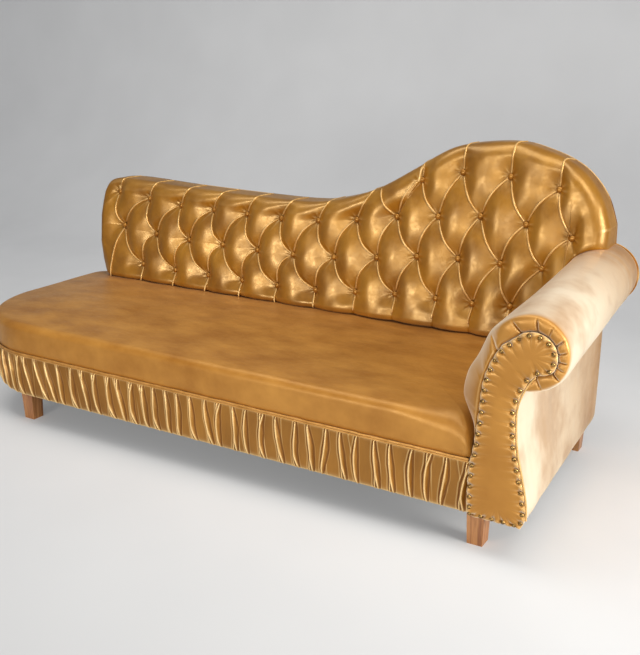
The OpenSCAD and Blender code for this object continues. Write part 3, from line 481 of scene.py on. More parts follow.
# Drift of the buttons from an even lattice, one list for a row: column and share of the pitch
ACROSS = [
    [(0, 0.05), (4, 0.03), (6, 0.13), (8, 0.15), (10, -0.07)],
    [(-0.5, -0.1), (4.5, -0.1), (6.5, 0.1), (9.5, 0.09), (10.5, 0.05)],
    [(-1, 0.24), (0, 0.17), (2, 0.1), (4, 0.01), (9, 0.03), (11, 0.13), (12, 0)],
    [(7.5, 0.06), (8.5, 0.02), (9.5, 0.12), (10.5, 0.22), (12, 0)]]
UP = [
    [(0, 0.04), (1, 0), (9, 0), (10, 0.08)],
    [(-0.5, 0.1), (0.5, 0), (6.5, -0.1), (7.5, -0.04), (8.5, 0.02)],
    [(-1, 0.04), (0, 0), (6, -0.1), (8, -0.04), (9, 0.06), (10, -0.04), (11, -0.26)],
    [(7.5, -0.2), (8.5, 0.03), (9.5, 0.01), (10.5, -0.22)]]


def drift(tables, c, r):
    rows = np.stack([np.interp(c, [s[0] for s in t], [s[1] for s in t]) for t in tables])
    low = np.clip(np.floor(r), 0, len(tables) - 2).astype(int)
    t = np.clip(r - low, 0, 1)
    pick = lambda index: np.take_along_axis(rows, index[None], axis=0)[0]
    return mix(pick(low), pick(low + 1), t)


def column_x(c, r):
    return FIRST_BUTTON[0] + PITCH * (c + 0.008 * c * (10 - c) + drift(ACROSS, c, r))


def row_height(c, r, x):
    crest = ease((x - mix(BACK_LEFT, CREST_RIGHT, 0.434)) / (BACK_WIDTH * 0.303))
    foot = 1 - ease((x - BACK_LEFT) / (3 * PITCH))
    even = FIRST_BUTTON[1] + crest * 35 + r * (ROW_PITCH + crest * 10)
    return even + foot * 26 * r / 2 + ROW_PITCH * drift(UP, c, r)


def lattice_place(c, r):
    x = column_x(np.asarray(c, dtype=float), np.asarray(r, dtype=float))
    return x, row_height(c, r, x)


def lattice(x, z):
    """Column and row of the tufting lattice at a place of the back's face."""
    c = (x - FIRST_BUTTON[0]) / PITCH
    r = (z - FIRST_BUTTON[1]) / ROW_PITCH
    for _ in range(14):
        c = c + 0.8 * (x - column_x(c, r)) / PITCH
        r = r + 0.8 * (z - row_height(c, r, x)) / ROW_PITCH
    return c, r


def face_y(z):
    return PAD_FRONT + (z - PAD_BOTTOM) * RAKE


# How far the pleats over the top edge lean, and how far the two families of pleats bow, in lattice units
LEAN_LOW = 0.45
LEAN_CREST = 0.06
BOW_DOWN = 0.15
BOW_UP = 0.18


def slackening(c):
    """The pleats bow less towards the crest."""
    return 1 - 0.45 * ease((c - 4.5) / 4)


def hump(t, power):
    return np.power(np.abs(np.sin(np.pi * t)), power)


def margin(value, past):
    """The lattice's value, or its plain margin past the first or last button of a row."""
    return np.where(past > 0, np.sin(np.pi * np.clip(past, 0, 0.5)), value)


def fade_to_seam(value, past, rate):
    return np.where(past > 0, mix(value, 1, ease(past * rate)), value)


def tuft(c, r):
    """Share of the tufts' depth at a place of the lattice: 1 at a button, 0 on the middle of a diamond."""
    # Above the top row the pleats lean to the right as they pass over the edge
    low_part = c < np.where(r < 3, 6 + r / 2, 7.5)
    top = np.where(low_part, 2.0, 3.0)
    away = np.clip(r - top, 0, 1.5)
    cl = c - np.where(low_part, LEAN_LOW, LEAN_CREST) * away ** 1.3
    within = np.clip(r, 0, top)
    p = cl + within / 2
    q = cl - within / 2
    # The pleats bow towards the foot end
    slack = slackening(c)
    p, q = p + BOW_DOWN * slack * hump(q, 1.0), q + BOW_UP * slack * hump(p, 1.0)
    u = hump(p, 1.0)
    v = hump(q, 1.0)
    # Plain margins beyond the first and last buttons of the rows
    left = -p / 1.2
    right_high = (p - 12) / 1.6
    right_low = (q - 10) / 1.6
    u = fade_to_seam(margin(margin(u, left), right_high), right_low, 1.8)
    v = fade_to_seam(margin(fade_to_seam(v, left, 2.2), right_low), right_high, 3)
    # A dome between its four pleats, steepest towards the buttons
    either = u + v - u * v
    inside = 1 - 0.6 * np.power(either + 1e-9, 1.15) - 0.4 * np.power(u * v + 1e-9, 0.95)
    # Below the lowest row the pleats run straight down to the seat
    low_shape = (1 - hump(c, 0.85)) * 0.46 * ease((c + 0.75) / 0.4) * ease((10.9 - c) / 0.5)
    depth = mix(inside, low_shape, ease(-r * 2.6))
    first = np.where(low_part, np.minimum(np.floor(cl), 6), np.floor(cl + 0.5) - 0.5)
    second = np.where(low_part & (first >= 6), np.where(r < 3, 6 + r / 2, 7.5), first + 1)
    w = np.clip((cl - first) / np.maximum(second - first, 0.2), 0, 1)
    ends = ease((cl + 1.5) / 0.4) * ease((11.0 - cl) / 0.4)
    up_shape = (1 - hump(w, 0.85)) * 0.5 * (1 - 0.4 * np.clip(away, 0, 1)) * ends
    return mix(depth, up_shape, ease(away * 1.7))


def edge_distance(x, z):
    """Distance from a place on the back's face to its top and the edge over the arm."""
    arm_side = np.array([[CREST_RIGHT, top_curve[-1][1]], [CREST_RIGHT, 500.0]])
    line = np.concatenate([top_curve, arm_side])
    best = np.full(x.shape, 1e9)
    for a, b in zip(line[:-1], line[1:]):
        d = b - a
        n = float(d @ d)
        if n < 1e-9:
            continue
        t = np.clip(((x - a[0]) * d[0] + (z - a[1]) * d[1]) / n, 0, 1)
        best = np.minimum(best, (x - a[0] - t * d[0]) ** 2 + (z - a[1] - t * d[1]) ** 2)
    return np.sqrt(best)


def pad_floor(x):
    """Height of the padding's lower edge: on the seat, or sunk a little into the arm's roll."""
    sunk = ROLL_RADIUS - 4
    off = np.clip(x - ROLL_REAR[0], -sunk, sunk)
    over_roll = ROLL_REAR[1] + np.sqrt(sunk ** 2 - off ** 2)
    return np.where(x > ARM_START, over_roll, SEAT_LEVEL)


def bell(distance, width):
    return np.exp(-(distance / width) ** 2)


def rolled(d, radius):
    d = np.clip(d, 0, radius)
    return radius - np.sqrt(np.maximum(radius ** 2 - (radius - d) ** 2, 0))


def pad_surface(x, z):
    """Depth of the tufted face at places along the back and up it."""
    d = edge_distance(x, z)
    c, r = lattice(x, z)
    # The foot end is tight in the middle and rounder lower down
    radius = np.interp(z, [377, 430, 500, 600, 660], [92, 62, 34, 28, 42])
    turn = np.maximum(rolled(d, EDGE_ROLL), rolled(x - BACK_LEFT, radius))
    d = np.minimum(d, x - BACK_LEFT)
    drawn = TUFT_DEPTH * tuft(c, r) * ease((d + 8) / 34)
    # Fine creases that radiate from the nearest button
    p, q = np.round(c + r / 2), np.round(c - r / 2)
    bc, br = (p + q) / 2, p - q
    bx, bz = lattice_place(bc, br)
    away = np.hypot(x - bx, z - bz)
    angle = np.arctan2(z - bz, x - bx)
    real = (p >= 0) & (p <= 12) & (q <= 10) & (p >= q) & ((p - q < 3) | ((p >= 9) & (p - q < 4)))
    near = bell(away - 17, 11) * real
    drawn = drawn + 0.8 * near * np.sin(7 * angle + 2.1 * p + 1.3 * q) * ease((d - 10) / 30)
    swell = 1.3 * ripple(x / 90, z / 90, 5) + 0.5 * ripple(x / 28, z / 34, 6)
    return face_y(z) + turn + drawn + swell * ease(d / 40)


def back_front():
    """Places of the tufted face, as rows from the seat up to the outline."""
    cols, low_rows, top_rows = 960, 210, 24
    t = np.linspace(0, 1, cols)
    x = BACK_LEFT + BACK_WIDTH * mix(t, ease(t), 0.5)
    top = top_height(x)
    floor = np.minimum(pad_floor(x), top - 6)
    slope = np.gradient(top, x)
    zone = np.minimum(EDGE_ROLL * np.sqrt(1 + np.minimum(slope ** 2, 16)), (top - floor) * 0.6)
    z_low = mix(floor, top - zone, np.linspace(0, 1, low_rows)[:, None])
    angle = np.linspace(0, math.pi / 2, top_rows + 1)[1:, None]
    z = np.concatenate([z_low, top - zone * (1 - np.sin(angle))])
    x = np.broadcast_to(x, z.shape).copy()
    # The lower edge turns under where it meets the seat, and less so on the arm
    depth = np.where(x[0] > ARM_START, 8.0, 22.0)
    under = depth * (1 - np.sqrt(np.clip(1 - (1 - np.clip((z - floor) / 24, 0, 1)) ** 2, 0, 1)))
    y = pad_surface(x, z) + under
    return joined(x, np.minimum(y, BACK_REAR - 14), z)


def wrap_rows(loop, rear, rounding):
    """Rows that carry the face's edge back to the rear, round a last corner."""
    outline = loop[:, [0, 2]]
    rows = [at_depth(outline, mix(loop[:, 1], rear - rounding, t)) for t in np.linspace(0.14, 1, 7)]
    for a in np.radians([30, 60, 90]):
        place = outline + to_right(outline) * (rounding * (1 - math.cos(a)))
        rows.append(at_depth(place, rear - rounding + rounding * math.sin(a)))
    return rows


def tufted_back():
    grid = back_front()
    rows, cols = grid.shape[:2]
    index = np.arange(rows * cols).reshape(rows, cols)
    edge = np.concatenate([index[:, 0], index[-1, 1:], index[-2::-1, -1]])
    points = grid.reshape(-1, 3)
    faces = grid_faces(rows, cols)
    strips = wrap_rows(points[edge], BACK_REAR - 0.3, 10.0)
    previous = edge
    for strip in strips:
        start = len(points)
        points = np.concatenate([points, strip])
        current = np.arange(start, len(points))
        faces += np.stack([previous[:-1], current[:-1], current[1:], previous[1:]], axis=1).tolist()
        previous = current
    piece = make_mesh("tufted_back", points, faces, velvet_back_painted_shade)
    finish_piece(piece, "back_pad")


PLEAT_RADIUS = 2.9
BUTTON_ROWS = [(0, 0, 11), (1, -0.5, 12), (2, -1, 13), (3, 7.5, 4)]
BUTTONS = [(first + i, r) for r, first, count in BUTTON_ROWS for i in range(count)]


def pleat_path(c, r):
    """Places along a pleat between two buttons, or until it meets the back's outline."""
    x, z = lattice_place(c, r)
    return joined(x, pad_surface(x, z) - 1.3, z)


def over_the_edge(c0, r0):
    """A pleat from a button of the top row, up and over the back's top edge."""
    away = np.linspace(0.07, 1.6, 120)
    x, z = lattice_place(c0 + (LEAN_LOW if r0 == 2 else LEAN_CREST) * away ** 1.3, r0 + away)
    keep = z < top_height(x) - 2.5
    x, z = x[keep], z[keep]
    face = joined(x, pad_surface(x, z) - 0.7, z)
    end = face[-1]
    t = np.linspace(0.12, 1, 9)
    ex = end[0] + 16 * t
    edge = joined(ex, mix(end[1], BACK_REAR - 12, t), mix(end[2], top_height(ex), ease(t * 4)) + 0.2)
    return np.concatenate([face[::max(1, len(x) // 26)], edge])


def pleats():
    """The folded edges of the cover's pleats, which show as thin raised cords between the buttons."""
    paths = []
    t = np.linspace(0.075, 0.925, 26)
    for c, r in BUTTONS:
        p, q = c + r / 2, c - r / 2
        slack = slackening(c)
        bow = np.sin(np.pi * t)
        for side, pp, qq in ((0.5, p - BOW_DOWN * slack * bow, q + t), (-0.5, p - t, q - BOW_UP * slack * bow)):
            if (c + side, r - 1) in BUTTONS:
                paths.append(pleat_path((pp + qq) / 2, pp - qq))
        if r == 0:
            down = np.linspace(0.07, 0.47, 12)
            paths.append(pleat_path(c + 0.02 * np.sin(down * 5 + c), -down))
        if (r == 2 and c < 7) or r == 3:
            paths.append(over_the_edge(c, r))
    # Under the rise to the crest one more pleat comes down from the outline
    t = np.linspace(0.05, 0.925, 30)
    x, z = lattice_place((13 + t - 0.1 * np.sin(np.pi * t)) / 2, 3 - t - 0.1 * np.sin(np.pi * t))
    inside = z < top_height(x) - 6
    paths.append(joined(x, pad_surface(x, z) - 1.0, z)[inside])
    # Towards the foot end the last pleat ends in a small pucker, and runs on down to the seat
    tail = np.linspace(0, 1, 22)
    paths.append(pleat_path(-0.5 - 0.42 * np.sin(tail * 1.7), 0.93 - 1.38 * tail))
    points, faces = [], []
    for path in paths:
        share = np.linspace(0, 1, len(path))
        radius = PLEAT_RADIUS * (0.6 + 0.4 * np.power(np.sin(np.pi * np.clip(share, 0.02, 0.98)), 0.3))
        faces += grid_faces(len(path), 8, True, len(points), caps=True)
        points.extend(tube(path, radius, 8).reshape(-1, 3))
    # The cords take the lighter velvet: their pale tone is a painted highlight
    piece = make_mesh("pleat_folds", points, faces, velvet_cord_painted_highlight)
    finish_piece(piece)


def tuft_buttons():
    """Covered buttons: a domed cap with the cover gathered in under its rim."""
    profile = [(0.0, 11.0), (2.8, 10.8), (5.4, 10.1), (7.6, 8.8), (9.1, 7.0), (9.6, 5.4), (9.2, 3.8), (7.0, 2.6),
               (3.0, 1.8), (1.0, 0.6)]
    sides = 20
    points, faces = [], []
    for c, r in BUTTONS:
        (x,), (z,) = lattice_place(np.array([c]), np.array([float(r)]))
        y = face_y(z) + TUFT_DEPTH - 0.6
        start = len(points)
        points.append((x, y - profile[0][1], z))
        for radius, height in profile[1:]:
            for k in range(sides):
                a = 2 * math.pi * k / sides
                swell = 1 + 0.012 * math.sin(5 * a + c * 3)
                points.append((x + radius * swell * math.cos(a), y - height, z + radius * swell * math.sin(a)))
        faces += [(start, start + 1 + k, start + 1 + (k + 1) % sides) for k in range(sides)]
        faces += grid_faces(len(profile) - 1, sides, True, start + 1)
    piece = make_mesh("tuft_buttons", points, faces, velvet_button_painted_shade)
    finish_piece(piece, "back_buttons")


SIDE_FRONT = 733.0
SIDE_TOP = 655.0


def outside_back():
    """The covered panel behind the back, the arm and its roll, with an edge turned round to the foot side."""
    roll_left, roll_right = ROLL_REAR[0], ROLL_REAR[0] + ROLL_RADIUS
    t = np.linspace(0, 1, 150)
    x = np.concatenate([
        BACK_LEFT + 1 + (roll_left - BACK_LEFT - 1) * mix(t, ease(t), 0.4), np.linspace(roll_left + 0.2, 2035.5, 8),
        np.linspace(2037.3, roll_right - 0.5, 20)])
    half = np.sqrt(np.maximum(ROLL_RADIUS ** 2 - (x - ROLL_REAR[0]) ** 2, 0))
    top = np.where(x < CREST_RIGHT, top_height(x), ROLL_REAR[1] + half) - 1
    bottom = np.where(x <= roll_left, RAIL_BOTTOM + 0.5, ROLL_REAR[1] - half + 1)
    w = np.linspace(0, 1, 44)[:, None]
    z = mix(bottom, top, mix(w, ease(w), 0.5))
    inner = np.minimum(np.minimum(x - BACK_LEFT, roll_right - x), np.minimum(z - bottom, top - z) / 1.2)
    grid = joined(x, COUCH_REAR - 0.8 - rolled(inner, 8) * 0.6 + 0.6 * ripple(x / 160, z / 160, 11), z)
    front = joined(x, BACK_REAR + 0.2, z)
    rows, cols = z.shape
    index = np.arange(rows * cols).reshape(rows, cols)
    loop = np.concatenate([index[:, 0], index[-1, 1:], index[-2::-1, -1], index[0, -2:0:-1]])
    points = np.concatenate([grid.reshape(-1, 3), front.reshape(-1, 3)])
    faces = grid_faces(rows, cols) + grid_faces(rows, cols, offset=rows * cols)
    base = rows * cols
    following = np.roll(loop, -1)
    faces += np.stack([loop, following, following + base, loop + base], axis=1).tolist()
    piece = make_mesh("outside_back_cover", points, faces, velvet_gold)
    finish_piece(piece, "outside_back")
    side_y = np.linspace(SIDE_FRONT, BACK_REAR, 8)
    side_z = np.linspace(RAIL_BOTTOM + 0.5, SIDE_TOP, 36)[:, None]
    bulge = BACK_LEFT + 1.4 - 0.8 * np.sin(np.pi * (side_y - SIDE_FRONT) / (BACK_REAR - SIDE_FRONT))
    side = grid_piece("back_side_cover", panel(joined(bulge, side_y, side_z)), velvet_gold, wrap=True, caps=True)
    finish_piece(side)


# Seat: the foam's end corner is rounder than the cover's
FOAM_END_RADIUS = 46.0
COVER_END_RADIUS = 31.0
COVER_INSET = 8.6
SEAT_EDGE = 358.0
SEAT_CROWN = 19.0
SEAT_ROUNDING = 26


def base_ring(inset, end_radius=FOAM_END_RADIUS):
    """Plan of the seat as a closed ring, drawn in by an inset, with points along the straight sides too."""
    f, r, e = FRONT_RADIUS, REAR_RADIUS, end_radius
    corners = [((f, f), f, 270, 56), ((r, BASE_DEPTH - r), r, 180, 18),
               ((SEAT_RIGHT - e, BASE_DEPTH - e), e, 90, 14), ((SEAT_RIGHT - e, e), e, 0, 14)]
    arcs = [arc(centre, radius - inset, start, start - 90, steps) for centre, radius, start, steps in corners]
    out = []
    for part, following, count in zip(arcs, arcs[1:] + arcs[:1], (16, 150, 40, 150)):
        out += [part, mix(part[-1], following[0], np.linspace(0, 1, count + 1)[1:-1, None])]
    return np.concatenate(out)


def middle_line(ring):
    """Places on the seat's middle line, each as near as can be to a place on a ring."""
    half = BASE_DEPTH / 2
    return joined(np.clip(ring[:, 0], half, SEAT_RIGHT - half), half)


def cover_ring(inset, shift):
    """The cover's outline, drawn in by an inset and pushed outwards by a shift at each of its places."""
    ring = base_ring(inset, COVER_END_RADIUS)
    along = unit(np.roll(ring, -1, axis=0) - np.roll(ring, 1, axis=0))
    return ring + joined(along[:, 1], -along[:, 0]) * shift[:, None]


def lifted(ring, z):
    return joined(ring[:, 0], ring[:, 1], z)


def seat_top():
    edge, bottom, radius = SEAT_EDGE, RAIL_TOP + 10.0, SEAT_ROUNDING
    outline = base_ring(0)
    target = middle_line(outline)
    side = spline([(10.6, 0), (9.4, 0.08), (8.7, 0.3), (8.2, 0.7), (COVER_INSET, 1)], 5)
    run = run_along(outline)
    long_wave = wave(run / 130, 8)
    rows = []
    for inset, share in side:
        z = bottom + (edge - radius - bottom) * share
        low = math.exp(-share * 72 / 20)
        shift = 0.8 * low * wave(run / 15, 3) + long_wave * min(1, share * 2)
        rows.append(lifted(cover_ring(inset, shift), z))
    for a in np.radians(np.linspace(8, 78, 12)):
        ring = cover_ring(COVER_INSET + radius * (1 - math.cos(a)), long_wave)
        z = edge - radius + radius * math.sin(a) + 0.9 * wave(run / 170, 9) * math.sin(a)
        rows.append(lifted(ring, z))
    last = rows[-1]
    for s in np.linspace(0.025, 1, 46):
        place = mix(last[:, :2], target, s)
        crown = SEAT_CROWN * math.sin(math.pi / 2 * min(1, s * 1.05)) * 0.98
        z = last[:, 2] + (edge - last[:, 2]) * min(1, s * 8) + crown
        x, y = place.T
        swell = 1.5 * ripple(x / 210, y / 170, 21) + 0.5 * ripple(x / 60, y / 70, 22)
        rows.append(lifted(place, z + swell * min(1, s * 4)))
    return round_corner(np.array(rows), 0.0)


def round_corner(rows, inset):
    """Rows with the top edge rounded off further towards the front corner beside the arm."""
    from_arm = SEAT_RIGHT - 12.0 - inset - rows[..., 0]
    from_front = rows[..., 1] - 7.0 - inset
    high = ease((rows[..., 2] - 262) / 60)
    near_front = ease((330 - rows[..., 1]) / 240)
    near_arm = ease((rows[..., 0] - SEAT_RIGHT + 240) / 200)
    rows = rows.copy()
    rows[..., 2] -= (rolled(from_arm, 62) - rolled(from_arm + 10, 26)) * near_front * high
    rows[..., 2] -= (rolled(from_front, 54) - rolled(from_front, 26)) * near_arm * high
    return rows


def foam_rows(inset, bottom, top):
    """Rings of the foam's outline, up its sides and over its rounded top edge, as far as the middle line."""
    radius = SEAT_ROUNDING
    rings = [(base_ring(inset), z) for z in (bottom, mix(bottom, top, 0.4), top - radius)]
    rings += [(base_ring(inset + 16 * (1 - math.cos(a))), top - radius + radius * math.sin(a))
              for a in np.radians([25, 50, 75, 90])]
    last = rings[-1][0]
    target = middle_line(last)
    rings += [(mix(last, target, t), top) for t in (0.1, 0.3, 0.6, 1)]
    return round_corner(np.array([lifted(ring, z) for ring, z in rings]), inset - COVER_INSET)


def seat_pad():
    grid = np.concatenate([foam_rows(23.6, RAIL_TOP + 10.0, 350.0)[::-1], seat_top()])
    piece = grid_piece("seat_pad", grid, velvet_seat, wrap=True)
    finish_piece(piece, "seat_cover")
    grid = foam_rows(24.3, RAIL_TOP + 4.3, 349.6)
    base = grid[0].copy()
    base[:, :2] = grid[-1][:, :2]
    piece = grid_piece("seat_foam_block", np.concatenate([[base], grid]), foam, wrap=True)
    finish_piece(piece, "seat_foam", slot="foam")


# Base outline from the arm round the foot end, as a run of length
BAND_DEPTH = 15.5
BAND_RIGHT = FACING_LEFT - 0.3
FRONT_RUN = BAND_RIGHT - FRONT_RADIUS
FRONT_ARC = math.pi / 2 * FRONT_RADIUS
FOOT_RUN = BASE_DEPTH - FRONT_RADIUS - REAR_RADIUS
REAR_ARC = math.pi / 2 * REAR_RADIUS
BAND_RUN = FRONT_RUN + FRONT_ARC + FOOT_RUN + REAR_ARC


def outline_points(s, inset):
    """Places on the base's outline at distances from the arm, moved inwards by insets."""
    s, inset = np.broadcast_arrays(np.asarray(s, dtype=float), np.asarray(inset, dtype=float))
    f, r = FRONT_RADIUS, REAR_RADIUS
    s1, s2, s3 = s - FRONT_RUN, s - FRONT_RUN - FRONT_ARC, s - FRONT_RUN - FRONT_ARC - FOOT_RUN
    a = np.pi / 2 * s1 / FRONT_ARC
    b = np.pi / 2 * s3 / REAR_ARC
    x = np.select([s1 <= 0, s2 <= 0, s3 <= 0],
                  [BAND_RIGHT - s, f - (f - inset) * np.sin(a), inset], r - (r - inset) * np.cos(b))
    y = np.select([s1 <= 0, s2 <= 0, s3 <= 0],
                  [inset, f - (f - inset) * np.cos(a), f + s2], BASE_DEPTH - r + (r - inset) * np.sin(b))
    return x, y


def fold_places(seed, spacing, jitter):
    rng = np.random.default_rng(seed)
    places, s = [], -spacing
    while s < BAND_RUN + spacing:
        s += spacing * rng.uniform(1 - jitter, 1 + jitter)
        places.append((s, rng.uniform(0.55, 1.0), rng.uniform(-0.35, 0.35), rng.uniform(0, 6.3)))
    return places


def gathered_band():
    """The gathered band: narrow leaning ridges with flat stretches and finer ridges between them."""
    cols, rows = 1900, 44
    s = np.linspace(0, BAND_RUN, cols)[None, :]
    t = np.linspace(0, 1, rows)[:, None]
    ridge = crease = fine = np.zeros((rows, cols))
    for place, size, lean, phase in fold_places(41, 49.0, 0.2):
        slope = mix(-6, 30, ease(place / FRONT_RUN)) + lean * 26
        centre = place - slope * (t - 0.5) + 4.0 * np.sin(t * 4.2 + phase)
        # Each fold is pinched in the middle, and parts in two towards the base or under the welt
        part = (5.0 * ease((t - 0.62) / 0.38) * (math.sin(phase * 3) > -0.2)
                + 5.5 * ease((0.3 - t) / 0.3) * (math.sin(phase * 5) > 0.2))
        width = np.interp(t, [0, 0.1, 0.45, 0.75, 1], [1.5, 2.6, 5.6, 4.4, 2.2]) * (0.8 + 0.35 * size)
        rise = np.interp(t, [0, 0.12, 0.4, 0.8, 1], [0.4, 0.7, 1.0, 0.95, 0.5])
        d = s - centre
        for away in (d - part, d + part):
            ridge = np.maximum(ridge, rise * (0.75 + 0.25 * size) * np.exp(-np.abs(away / width) ** 1.7))
        reach = np.abs(d) - part
        crease = np.maximum(crease, bell(reach - 1.6 * width, 2.8) * np.where(d > 0, 1 - 0.4 * t, 0.5))
    for place, size, lean, phase in fold_places(42, 66.0, 0.5):
        centre = place - (14 + lean * 50) * (t - 0.5)
        reach = 0.5 + 0.5 * np.cos(np.clip((t - 0.5 - 0.5 * math.sin(phase)) * 3.4, -np.pi, np.pi))
        fine = np.maximum(fine, size * reach * bell(s - centre, 3.2))
    depth = BAND_DEPTH * np.clip(0.32 + 0.68 * ridge - 0.32 * crease * (1 - ridge), 0, 1) + 1.8 * fine * (1 - ridge)
    # Drawn in at both edges, under the welt and under the base
    profile = 0.8 + 8 * np.exp(-t / 0.06) + 9 * np.exp(-(1 - t) / 0.05)
    keep = 1 - 0.6 * np.exp(-t / 0.08) - 0.4 * np.exp(-(1 - t) / 0.05)
    inset = np.clip(profile + (BAND_DEPTH - depth) * keep, 0.3, BAND_ROOM - 1.6)
    z = mix(RAIL_TOP + 1.5, RAIL_BOTTOM + 0.6, t)
    front = joined(*outline_points(s, inset), z)
    rear = joined(*outline_points(s, np.minimum(inset + 1.3, BAND_ROOM - 0.2)), z)
    grid = np.concatenate([front, rear[::-1]])
    piece = grid_piece("gathered_cover", grid.transpose(1, 0, 2), velvet_band_painted_shade, wrap=True, caps=True)
    finish_piece(piece, "gathered_band")


def tube(places, radius, sides=10):
    """A tube along a list of places, as a grid of rings."""
    places = np.asarray(places, dtype=float)
    along = unit(np.gradient(places, axis=0))
    side = np.cross(along, np.array([0.0, 0.0, 1.0]))
    side[np.linalg.norm(side, axis=1) < 1e-3] = np.array([0.0, 1.0, 0.0])
    side = unit(side)
    top = np.cross(side, along)
    a = np.linspace(0, 2 * math.pi, sides, endpoint=False)
    radius = np.broadcast_to(radius, (len(places),))[:, None, None]
    ring = np.cos(a)[:, None] * side[:, None, :] + np.sin(a)[:, None] * top[:, None, :]
    return places[:, None, :] + ring * radius


def double_welt():
    """Two cords side by side above the band, slightly uneven where the cover is gathered over them."""
    s = np.linspace(0, BAND_RUN, 900)
    for name, centre, seed in (("welt_low", RAIL_TOP + 3.4, 51), ("welt_high", RAIL_TOP + 8.9, 52)):
        x, y = outline_points(s, 4.6 + 0.5 * wave(s / 23, seed))
        z = centre + 0.45 * wave(s / 31, seed + 5)
        radius = 3.1 * (1 + 0.05 * wave(s / 6, seed + 9))
        grid = tube(joined(x, y, z), radius)
        piece = grid_piece(name, grid, velvet_welt, wrap=True, caps=True)
        finish_piece(piece, "double_welt", slot="velvet_piping")


# Arm
ROLL_START, ROLL_END = 170, -104
ARM_STEPS = 14
ARM_INNER = [(-1.25, 0.17), (-1.29, 0.34), (-1.44, 0.5), (-1.48, 0.6), (-1.38, 0.76), (-1.16, 0.9)]


def arm_section(y):
    """The arm's cover at a depth: a line from the seat up, over the roll and under it."""
    t = y / BASE_DEPTH
    axis = mix(ROLL_FRONT, ROLL_REAR, t)
    # The cover bellies out over the seat towards the front
    belly = 26 * ease((300 - y) / 220)
    swell = lambda sz: belly * bell(sz - 0.55, 0.24 if sz < 0.55 else 1.0)
    low = [(ROLL_FRONT[0] + sx * ROLL_RADIUS - 26 * t * sz * sz - swell(sz), mix(RAIL_TOP, axis[1], sz))
           for sx, sz in ARM_INNER]
    roll = arc(axis, ROLL_RADIUS, ROLL_START, ROLL_END, 26)
    angle = np.linspace(ROLL_START, ROLL_END, len(roll))
    roll[:, 0] -= belly * 0.8 * bell(angle - 176, 34)
    return spline([*low, *roll], ARM_STEPS)


FACING_RIGHT = [(0.93, 0), (1, 0.05), (0.975, 0.148), (0.887, 0.268), (0.781, 0.402), (0.737, 0.54), (0.745, 0.63),
                (0.86, 0.73), (0.985, 0.787)]
FACING_LEFT_EDGE = [(0.44, 0.915), (0.305, 0.844), (0.212, 0.775), (0.155, 0.7), (0.113, 0.534), (0.06, 0.37),
                    (0.005, 0.26), (0, 0.06), (0.05, 0)]
HEAD_START, HEAD_END = -38, 138


def facing_edge(shares, steps):
    """An edge of the facing, from shares of its foot's width and of its height."""
    return spline([(FACING_LEFT + FOOT_WIDTH * a, RAIL_BOTTOM + FACING_HEIGHT * b) for a, b in shares], steps)


def on_head(degrees):
    a = np.radians(degrees)
    return HEAD + HEAD_RADIUS * joined(np.cos(a), np.sin(a))


def facing_outline():
    head = arc(HEAD, HEAD_RADIUS, HEAD_START, HEAD_END, 44)
    return np.concatenate([facing_edge(FACING_RIGHT, 8), head, facing_edge(FACING_LEFT_EDGE, 8)])


def resample(loop, count):
    closed = np.concatenate([loop, loop[:1]])
    run = run_along(closed)
    return on_path(closed, run, np.linspace(0, run[-1], count, endpoint=False))


def walk(path, shares):
    """Places at shares of a path's length."""
    run = run_along(path)
    return on_path(path, run, shares * run[-1])


